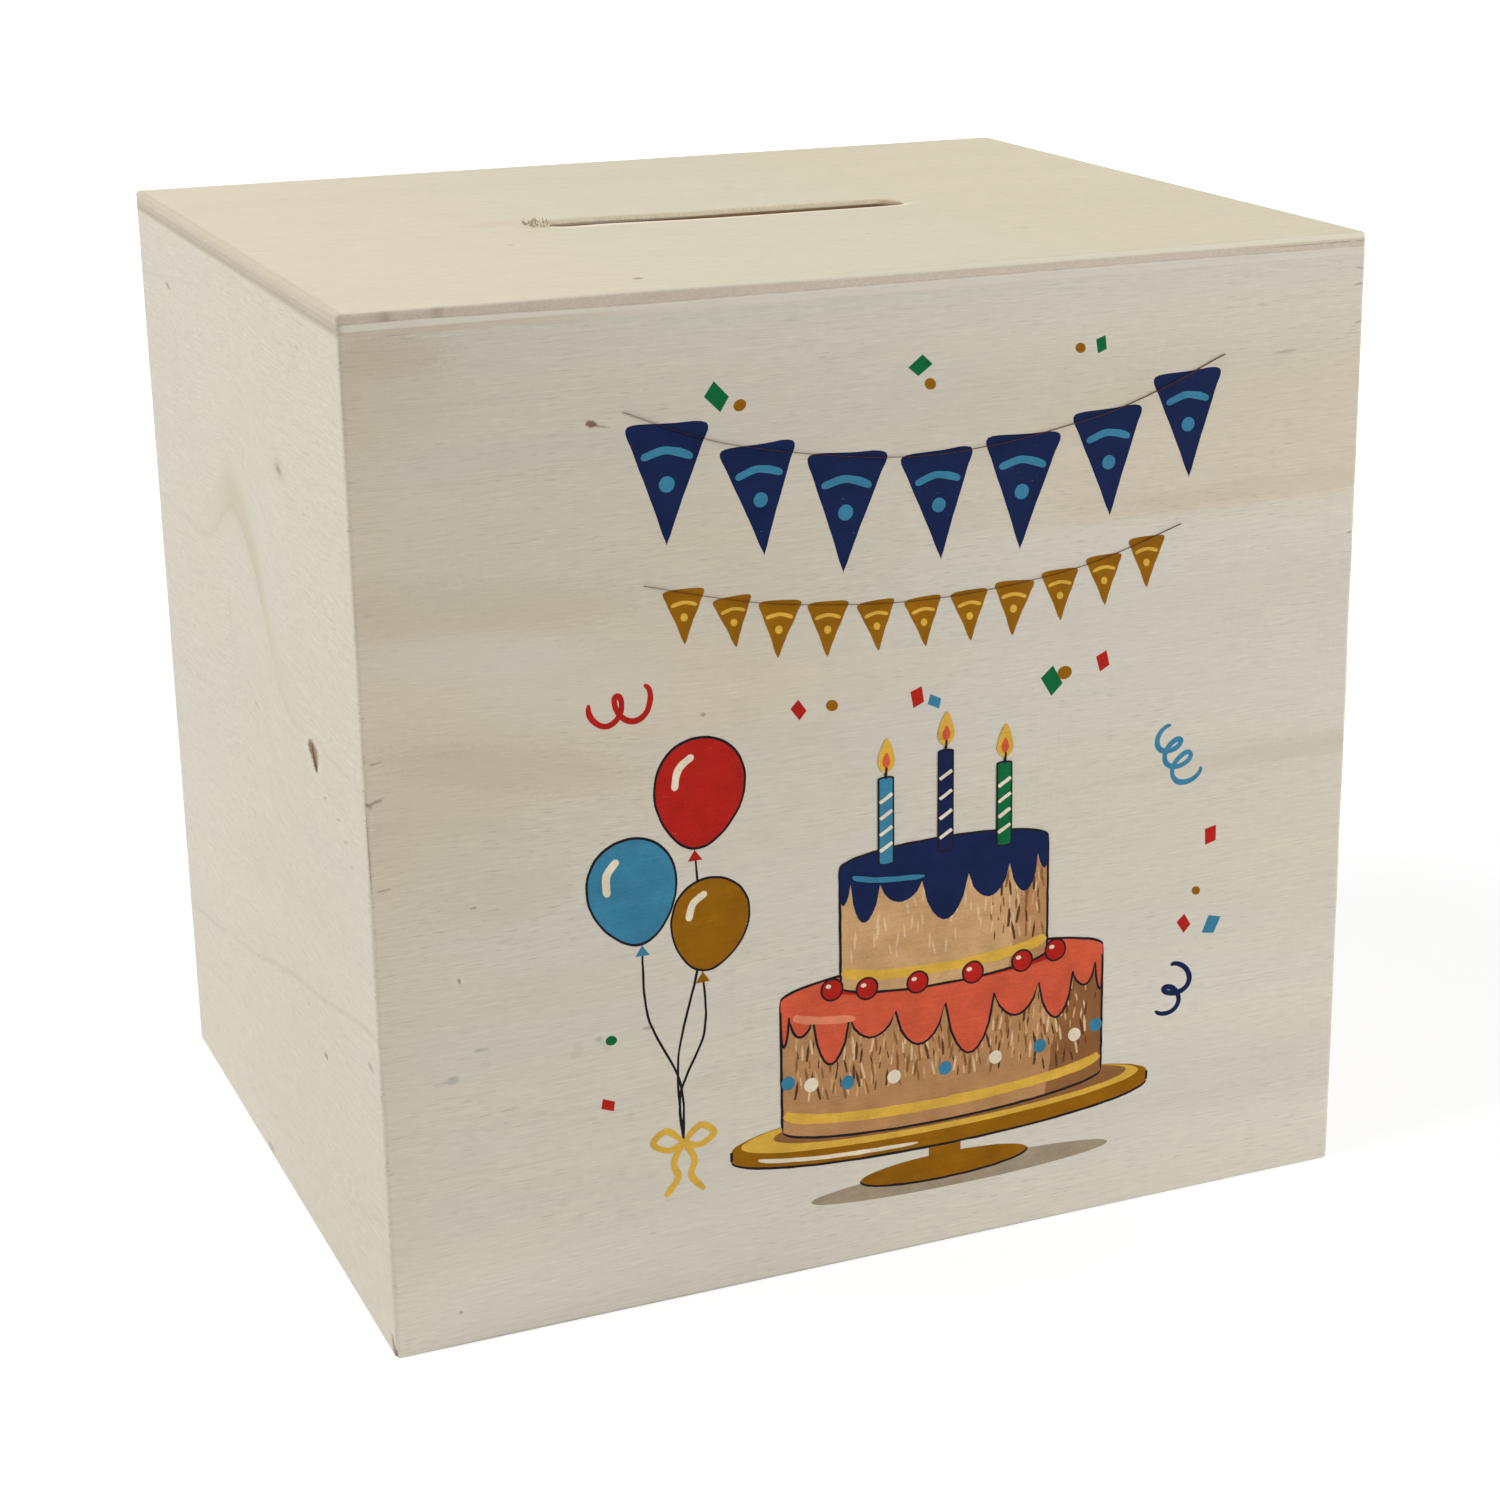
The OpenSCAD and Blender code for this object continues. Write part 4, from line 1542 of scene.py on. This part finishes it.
def node_graph(name, settings):
    """An empty geometry tree with named inputs, and the fields and values they give."""
    tree = bpy.data.node_groups.new(name, "GeometryNodeTree")
    tree.interface.new_socket("Geometry", in_out="OUTPUT", socket_type="NodeSocketGeometry")
    tree.interface.new_socket("Geometry", in_out="INPUT", socket_type="NodeSocketGeometry")
    for label, kind in settings:
        tree.interface.new_socket(label, in_out="INPUT", socket_type="NodeSocket" + kind)
    entry = tree.nodes.new("NodeGroupInput")
    return tree, {socket.name: socket for socket in entry.outputs if socket.name}


def add_node(tree, kind, options, values):
    """A node with its options set and its usable inputs linked or set by name. Gives its outputs."""
    node = tree.nodes.new(kind)
    for option, chosen in options.items():
        setattr(node, option, chosen)
    usable = {}
    for socket in node.inputs:
        if socket.enabled and not socket.is_unavailable:
            usable.setdefault(socket.name, socket)
    for label, value in values.items():
        if isinstance(value, bpy.types.NodeSocket):
            tree.links.new(value, usable[label])
        else:
            usable[label].default_value = value
    return [socket for socket in node.outputs if socket.enabled and not socket.is_unavailable]


def finish_graph(tree, result, material):
    """Ends a tree in real geometry with one material."""
    whole = add_node(tree, "GeometryNodeRealizeInstances", {}, {"Geometry": result})[0]
    dressed = add_node(tree, "GeometryNodeSetMaterial", {}, {"Geometry": whole, "Material": material})[0]
    tree.links.new(dressed, tree.nodes.new("NodeGroupOutput").inputs[0])


def grown(name, source, tree, values):
    """The plain mesh that a tree makes of a source, whose own object is then removed."""
    modifier = source.modifiers.new("growth", "NODES")
    modifier.node_group = tree
    for item in tree.interface.items_tree:
        if item.in_out == "INPUT" and item.name in values:
            modifier[item.identifier] = values[item.name]
    evaluated = source.evaluated_get(bpy.context.evaluated_depsgraph_get())
    mesh = bpy.data.meshes.new_from_object(evaluated)
    mesh.name = name
    bpy.data.objects.remove(source)
    made = bpy.data.objects.new(name, mesh)
    bpy.context.scene.collection.objects.link(made)
    return made


def garland_tree():
    """Pennants hung at even steps from a flat cord that follows a path."""
    tree, given = node_graph("garland", [
        ("Count", "Int"), ("Pennant", "Object"), ("Sway", "Float"), ("Seed", "Int"),
        ("Cord Width", "Float"), ("Cord Depth", "Float"), ("Cord Ink", "Color"), ("Finish", "Material")])
    path = add_node(tree, "GeometryNodeMeshToCurve", {}, {"Mesh": given["Geometry"]})[0]
    hung = add_node(tree, "GeometryNodeTrimCurve", {"mode": "FACTOR"}, {
        "Curve": path, "Start": 0.07, "End": 0.93})[0]
    knots = add_node(tree, "GeometryNodeResampleCurve", {}, {"Curve": hung, "Count": given["Count"]})[0]
    pennant = add_node(tree, "GeometryNodeObjectInfo", {}, {"Object": given["Pennant"]})[-1]
    back = add_node(tree, "ShaderNodeMath", {"operation": "SUBTRACT"}, {"Value": 0.0})[0]
    tree.links.new(given["Sway"], back.node.inputs[1])
    swing = add_node(tree, "FunctionNodeRandomValue", {"data_type": "FLOAT"}, {
        "Min": back, "Max": given["Sway"], "Seed": given["Seed"]})[0]
    turn = add_node(tree, "ShaderNodeCombineXYZ", {}, {"Y": swing})[0]
    size = add_node(tree, "FunctionNodeRandomValue", {"data_type": "FLOAT"}, {
        "Min": 0.93, "Max": 1.05, "Seed": given["Seed"]})[0]
    pennants = add_node(tree, "GeometryNodeInstanceOnPoints", {}, {
        "Points": knots, "Instance": pennant, "Rotation": turn, "Scale": size})[0]
    section = add_node(tree, "GeometryNodeCurvePrimitiveQuadrilateral", {}, {
        "Width": given["Cord Width"], "Height": given["Cord Depth"]})[0]
    cord = add_node(tree, "GeometryNodeCurveToMesh", {}, {
        "Curve": path, "Profile Curve": section, "Fill Caps": True})[0]
    cord = add_node(tree, "GeometryNodeStoreNamedAttribute", {
        "data_type": "FLOAT_COLOR", "domain": "POINT"}, {
        "Geometry": cord, "Name": "ink", "Value": given["Cord Ink"]})[0]
    join = tree.nodes.new("GeometryNodeJoinGeometry")
    tree.links.new(cord, join.inputs[0])
    tree.links.new(pennants, join.inputs[0])
    finish_graph(tree, join.outputs[0], given["Finish"])
    return tree


def strewn_tree():
    """Small pieces strewn over a surface, each turned, sized and coloured by chance."""
    tree, given = node_graph("strewn", [
        ("Piece", "Object"), ("Spacing", "Float"), ("Density", "Float"), ("Seed", "Int"),
        ("Smallest", "Float"), ("Largest", "Float"), ("Turn From", "Float"), ("Turn To", "Float"),
        ("First Ink", "Color"), ("Second Ink", "Color"), ("Finish", "Material")])
    places = add_node(tree, "GeometryNodeDistributePointsOnFaces", {"distribute_method": "POISSON"}, {
        "Mesh": given["Geometry"], "Distance Min": given["Spacing"],
        "Density Max": given["Density"], "Seed": given["Seed"]})[0]
    piece = add_node(tree, "GeometryNodeObjectInfo", {}, {"Object": given["Piece"]})[-1]
    turned = add_node(tree, "FunctionNodeRandomValue", {"data_type": "FLOAT"}, {
        "Min": given["Turn From"], "Max": given["Turn To"], "Seed": given["Seed"]})[0]
    turn = add_node(tree, "ShaderNodeCombineXYZ", {}, {"Y": turned})[0]
    size = add_node(tree, "FunctionNodeRandomValue", {"data_type": "FLOAT"}, {
        "Min": given["Smallest"], "Max": given["Largest"], "Seed": 3})[0]
    strewn = add_node(tree, "GeometryNodeInstanceOnPoints", {}, {
        "Points": places, "Instance": piece, "Rotation": turn, "Scale": size})[0]
    chance = add_node(tree, "FunctionNodeRandomValue", {"data_type": "INT"}, {
        "Min": 0, "Max": 1, "Seed": 5})[0]
    tint = add_node(tree, "ShaderNodeMix", {"data_type": "RGBA"}, {
        "Factor": chance, "A": given["First Ink"], "B": given["Second Ink"]})[0]
    strewn = add_node(tree, "GeometryNodeStoreNamedAttribute", {
        "data_type": "FLOAT_COLOR", "domain": "INSTANCE"}, {
        "Geometry": strewn, "Name": "ink", "Value": tint})[0]
    finish_graph(tree, strewn, given["Finish"])
    return tree


def path_object(name, places):
    """A path along the printed face, as a chain of edges."""
    mesh = bpy.data.meshes.new(name)
    points = [(place.x * mm, -half_depth, place.y * mm) for place in places]
    mesh.from_pydata(points, [(k, k + 1) for k in range(len(points) - 1)], [])
    made = bpy.data.objects.new(name, mesh)
    bpy.context.scene.collection.objects.link(made)
    return made


def pennant_shape(name, wide, high, colour, stripe):
    """One pennant that hangs from the origin: a soft triangle with a hand-painted band."""
    body = [(-wide, 0.4), (0, 0.7), (wide, 0.4), (wide * 0.86, -high * 0.2), (wide * 0.42, -high * 0.62)]
    body += [(0.3, -high), (-0.3, -high), (-wide * 0.42, -high * 0.62), (-wide * 0.86, -high * 0.2)]
    band = smooth_line([(-wide * 0.66, -high * 0.26), (0, -high * 0.2), (wide * 0.66, -high * 0.27)])
    dot = arc((0, -high * 0.5), wide * 0.2, wide * 0.2, steps=16)
    cloth = (smooth_line(body, closed=True, steps=5), colour)
    painted = [(brush_stroke(band, high * 0.07, 0.3), stripe), (dot, stripe)]
    return ink_films(name, [[], [cloth], painted], wall=0.0)


def ink_piece(name, outline):
    """A single small film at the origin, for strewing; its ink is stored when it is strewn."""
    made = ink_films(name, [[(outline, ink_line)]], wall=0.0)
    made.data.color_attributes.remove(made.data.color_attributes["ink"])
    return made


pennant_sway = math.radians(4)
garland = garland_tree()
strewn = strewn_tree()
garlands = (
    # name, path, pennants, half width, height, pennant ink, band ink, cord width, seed
    ("print_navy_garland", [(-53, 181), (-30, 172.5), (8, 167), (46, 171.5), (73, 181)], 7, 7.6, 21.0,
     ink_navy, ink_teal, 0.9, 4),
    ("print_ochre_garland", [(-50, 148), (-24, 141.5), (8, 138.5), (40, 141), (64, 147.5)], 11, 4.0, 9.6,
     ink_ochre, ink_gold, 0.7, 9),
)
for name, route, count, wide, high, colour, stripe, cord, seed in garlands:
    pennant = pennant_shape(name + "_pennant", wide, high, colour, stripe)
    source = path_object(name + "_path", smooth_line(route, steps=16))
    on_front(grown(name, source, garland, {
        "Count": count, "Pennant": pennant, "Sway": pennant_sway, "Seed": seed,
        "Cord Width": cord * mm, "Cord Depth": ink_film * 1.5, "Cord Ink": ink_umber, "Finish": ink_finish}))
    bpy.data.objects.remove(pennant)


def region_object(name, patches):
    """Flat patches facing forward, each (left, low, right, high, passes that lie under it)."""
    points, faces = [], []
    for left, low, right, high, under in patches:
        first = len(points)
        corners = ((left, low), (right, low), (right, high), (left, high))
        points += [(x * mm, -half_depth - under * ink_film, z * mm) for x, z in corners]
        faces.append(tuple(first + k for k in range(4)))
    return solid_from(name, points, faces)


paper_bit = ink_piece("paper_bit", [(-1.1, -1.5), (0.9, -1.25), (1.2, 1.4), (-0.85, 1.25)])
round_bit = ink_piece("round_bit", arc((0, 0), 1, 0.86, steps=14))
hair = ink_piece("hair", [(-0.11, -1.0), (0.12, -0.9), (0.16, 0.2), (0.02, 1.0), (-0.14, 0.3)])
above_cake = (-24, 117.5, 50, 125.5, 0)
right_side = (62, 56, 74, 92, 0)
left_low = (-66, 44, -58, 66, 0)
over_garland = (-44, 180, 54, 189, 0)
lower_sponge = (cake_x - 33, 38, cake_x + 33, 57, 11.5)
lower_shade = (cake_x + 18, 36, cake_x + 35, 57, 11.5)
upper_sponge = (cake_x - 21, 66, cake_x + 21, 84, 20.5)
upper_shade = (cake_x + 10, 66, cake_x + 22, 84, 20.5)
strewings = (
    # name, patches, piece, spacing, per square centimetre, seed, smallest, largest, turns, inks
    ("print_confetti_red", (above_cake, right_side, left_low), paper_bit, 19, 1.2, 3,
     1.0, 1.6, (-75, 75), ink_red, ink_coral),
    ("print_confetti_green", (over_garland, right_side, above_cake), paper_bit, 24, 1.2, 12,
     1.0, 1.7, (-75, 75), ink_green, ink_teal),
    ("print_confetti_dots", (above_cake, right_side, left_low, over_garland), round_bit, 20, 1.2, 27,
     1.0, 1.6, (-40, 40), ink_green, ink_ochre),
    ("print_crumbs_pale", (lower_sponge, upper_sponge), hair, 1.7, 40, 31,
     0.9, 2.0, (-16, 10), ink_tan, ink_wheat),
    ("print_crumbs_dark", (lower_sponge, lower_shade, upper_shade), hair, 1.6, 50, 44,
     0.9, 2.2, (-16, 10), ink_brown, ink_umber),
)
for name, patches, piece, spacing, density, seed, smallest, largest, turns, first, second in strewings:
    on_front(grown(name, region_object(name + "_region", patches), strewn, {
        "Piece": piece, "Spacing": spacing * mm, "Density": density * 1e4, "Seed": seed,
        "Smallest": smallest, "Largest": largest, "Turn From": math.radians(turns[0]),
        "Turn To": math.radians(turns[1]), "First Ink": first, "Second Ink": second, "Finish": ink_finish}))
for piece in (paper_bit, round_bit, hair):
    bpy.data.objects.remove(piece)


# ---- Torn fibres -----------------------------------------------------------
# Where the cutter left the slot, at its left end, it tore the face ply: a tuft
# of pale splinters stands up there, still fixed in the wood by their roots.

splinter_wide = 0.36 * mm
splinter_long = 1.5 * mm
tuft_middle = slot_middle + Vector((-41.6, 0.0)) * mm
tuft_half = Vector((2.2, 3.4)) * mm
torn_pale = paint(244, 234, 208)
torn_shade_tan = paint(190, 172, 142)
torn_bump = 0.01 * mm
torn_roughness = 0.8


def splinter_shape(name):
    """One splinter that stands on the origin: three-sided, bent, and sharp at its tip."""
    rings = []
    for rise, share, bend in ((-0.25, 1.0, 0.0), (0.35, 0.9, 0.05), (0.72, 0.55, 0.20)):
        for k in range(3):
            angle = math.radians(90 + 120 * k)
            reach = splinter_wide / 2 * share
            place = (math.cos(angle) * reach + bend * splinter_wide * 2, math.sin(angle) * reach)
            rings.append((*place, rise * splinter_long))
    rings.append((splinter_wide, 0.0, splinter_long))
    faces = [(2, 1, 0)]
    for low in (0, 3):
        faces += [(low + k, low + (k + 1) % 3, low + 3 + (k + 1) % 3, low + 3 + k) for k in range(3)]
    faces += [(6 + k, 6 + (k + 1) % 3, 9) for k in range(3)]
    return solid_from(name, rings, faces)


def torn_ground(name):
    """The patch of raised veneer that the splinters stand on."""
    steps = 6
    points = []
    for r in range(steps + 1):
        for c in range(steps + 1):
            x = tuft_middle.x + tuft_half.x * (2 * c / steps - 1)
            y = tuft_middle.y + tuft_half.y * (2 * r / steps - 1)
            points.append((x, y, top_high.z + swell(x, y)))
    faces = []
    for r in range(steps):
        for c in range(steps):
            a = r * (steps + 1) + c
            faces.append((a, a + 1, a + steps + 2, a + steps + 1))
    return solid_from(name, points, faces)


torn_finish, torn_place = new_material("torn_poplar")
torn_ink = torn_finish.node_tree.nodes.new("ShaderNodeVertexColor")
torn_ink.layer_name = "ink"
torn_speckle = end_grain(*torn_place)
torn_wood = (shaded(Field(torn_ink.outputs["Color"]), 1.0 + torn_speckle * 0.2), torn_speckle)
dress_wood(torn_finish, torn_wood, torn_bump, torn_roughness, gloss=0.0)
splinter = splinter_shape("splinter")
# Half the splinters, chosen at random, take a darker tan: painted shade among the crowded splinters of the
# tuft.
torn_fibres = grown("torn_fibres", torn_ground("torn_ground"), strewn, {
    "Piece": splinter, "Spacing": 0.62 * mm, "Density": 4e6, "Seed": 5, "Smallest": 0.5,
    "Largest": 1.1, "Turn From": math.radians(-60), "Turn To": math.radians(80),
    "First Ink": torn_pale, "Second Ink": torn_shade_tan, "Finish": torn_finish})
bpy.data.objects.remove(splinter)
torn_fibres.data.materials.clear()
torn_fibres.data.materials.append(torn_finish)
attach(torn_fibres, "box")


# ---- Light and floor -------------------------------------------------------
# Soft lamps stand high on the left, low at the front right and behind the box,
# and pale walls give back the rest. The box stands on white board without an edge.

def softbox(name, place, aim, side, power):
    """A square lamp that faces its aim and isn't seen itself."""
    data = bpy.data.lights.new(name, "AREA")
    data.size = side
    data.energy = power
    made = bpy.data.objects.new(name, data)
    made.location = place
    made.rotation_mode = "QUATERNION"
    made.rotation_quaternion = (Vector(aim) - Vector(place)).to_track_quat("-Z", "Y")
    made.visible_camera = False
    bpy.context.scene.collection.objects.link(made)


def seen_rays(tree):
    """1 for what the camera, a mirror or glass sees, and 0 for the light that falls on things."""
    rays = tree.nodes.new("ShaderNodeLightPath")
    seen = Field(rays.outputs["Is Camera Ray"])
    for name in ("Is Glossy Ray", "Is Transmission Ray"):
        seen = seen.calc("MAXIMUM", Field(rays.outputs[name]))
    return seen


room_light = 0.28
board_grey = 0.8
seen_grey = 0.3
glow_near, glow_more = 0.8, 0.2
floor_reach = 8.0
softbox("left_lamp", (-1.25, 0.08, 1.58), aim=(0, 0, 0.12), side=1.1, power=27.5)
softbox("front_right_lamp", (0.9, -0.75, 0.25), aim=(0.09, -0.08, 0.05), side=0.4, power=6.3)
softbox("back_lamp", (1.2, 1.6, 0.4), aim=(0, 0, 0.1), side=1.0, power=12.0)

world = bpy.data.worlds.new("studio")
bpy.context.scene.world = world
world.use_nodes = True
sky = world.node_tree.nodes["Background"]
grey_room = (room_light, room_light, room_light, 1)
feed(sky.inputs["Color"], mixed(seen_rays(world.node_tree), grey_room, (1, 1, 1, 1)))
sky.inputs["Strength"].default_value = 1.0

board_white = bpy.data.materials.new("white_board")
board_white.use_nodes = True
tree = board_white.node_tree
tree.nodes.remove(tree.nodes["Principled BSDF"])
matt_white = tree.nodes.new("ShaderNodeBsdfDiffuse")
matt_white.inputs["Color"].default_value = (board_grey, board_grey, board_grey, 1)
seen_matt = tree.nodes.new("ShaderNodeBsdfDiffuse")
seen_matt.inputs["Color"].default_value = (seen_grey, seen_grey, seen_grey, 1)
floor_place = tree.nodes.new("ShaderNodeTexCoord")
from_middle = tree.nodes.new("ShaderNodeVectorMath")
from_middle.operation = "LENGTH"
tree.links.new(floor_place.outputs["Object"], from_middle.inputs[0])
seen_glow = tree.nodes.new("ShaderNodeEmission")
open_floor = rises(Field(from_middle.outputs["Value"]), 0.25, 0.75)
feed(seen_glow.inputs["Strength"], open_floor * glow_more + glow_near)
seen_white = tree.nodes.new("ShaderNodeAddShader")
tree.links.new(seen_matt.outputs[0], seen_white.inputs[0])
tree.links.new(seen_glow.outputs[0], seen_white.inputs[1])
by_ray = tree.nodes.new("ShaderNodeMixShader")
feed(by_ray.inputs[0], seen_rays(tree))
tree.links.new(matt_white.outputs[0], by_ray.inputs[1])
tree.links.new(seen_white.outputs[0], by_ray.inputs[2])
tree.links.new(by_ray.outputs[0], tree.nodes["Material Output"].inputs["Surface"])

floor = solid_from("floor", [
    (-floor_reach, -floor_reach, 0),
    (floor_reach, -floor_reach, 0),
    (floor_reach, floor_reach, 0),
    (-floor_reach, floor_reach, 0),
], [(0, 1, 2, 3)])
floor.data.materials.append(board_white)
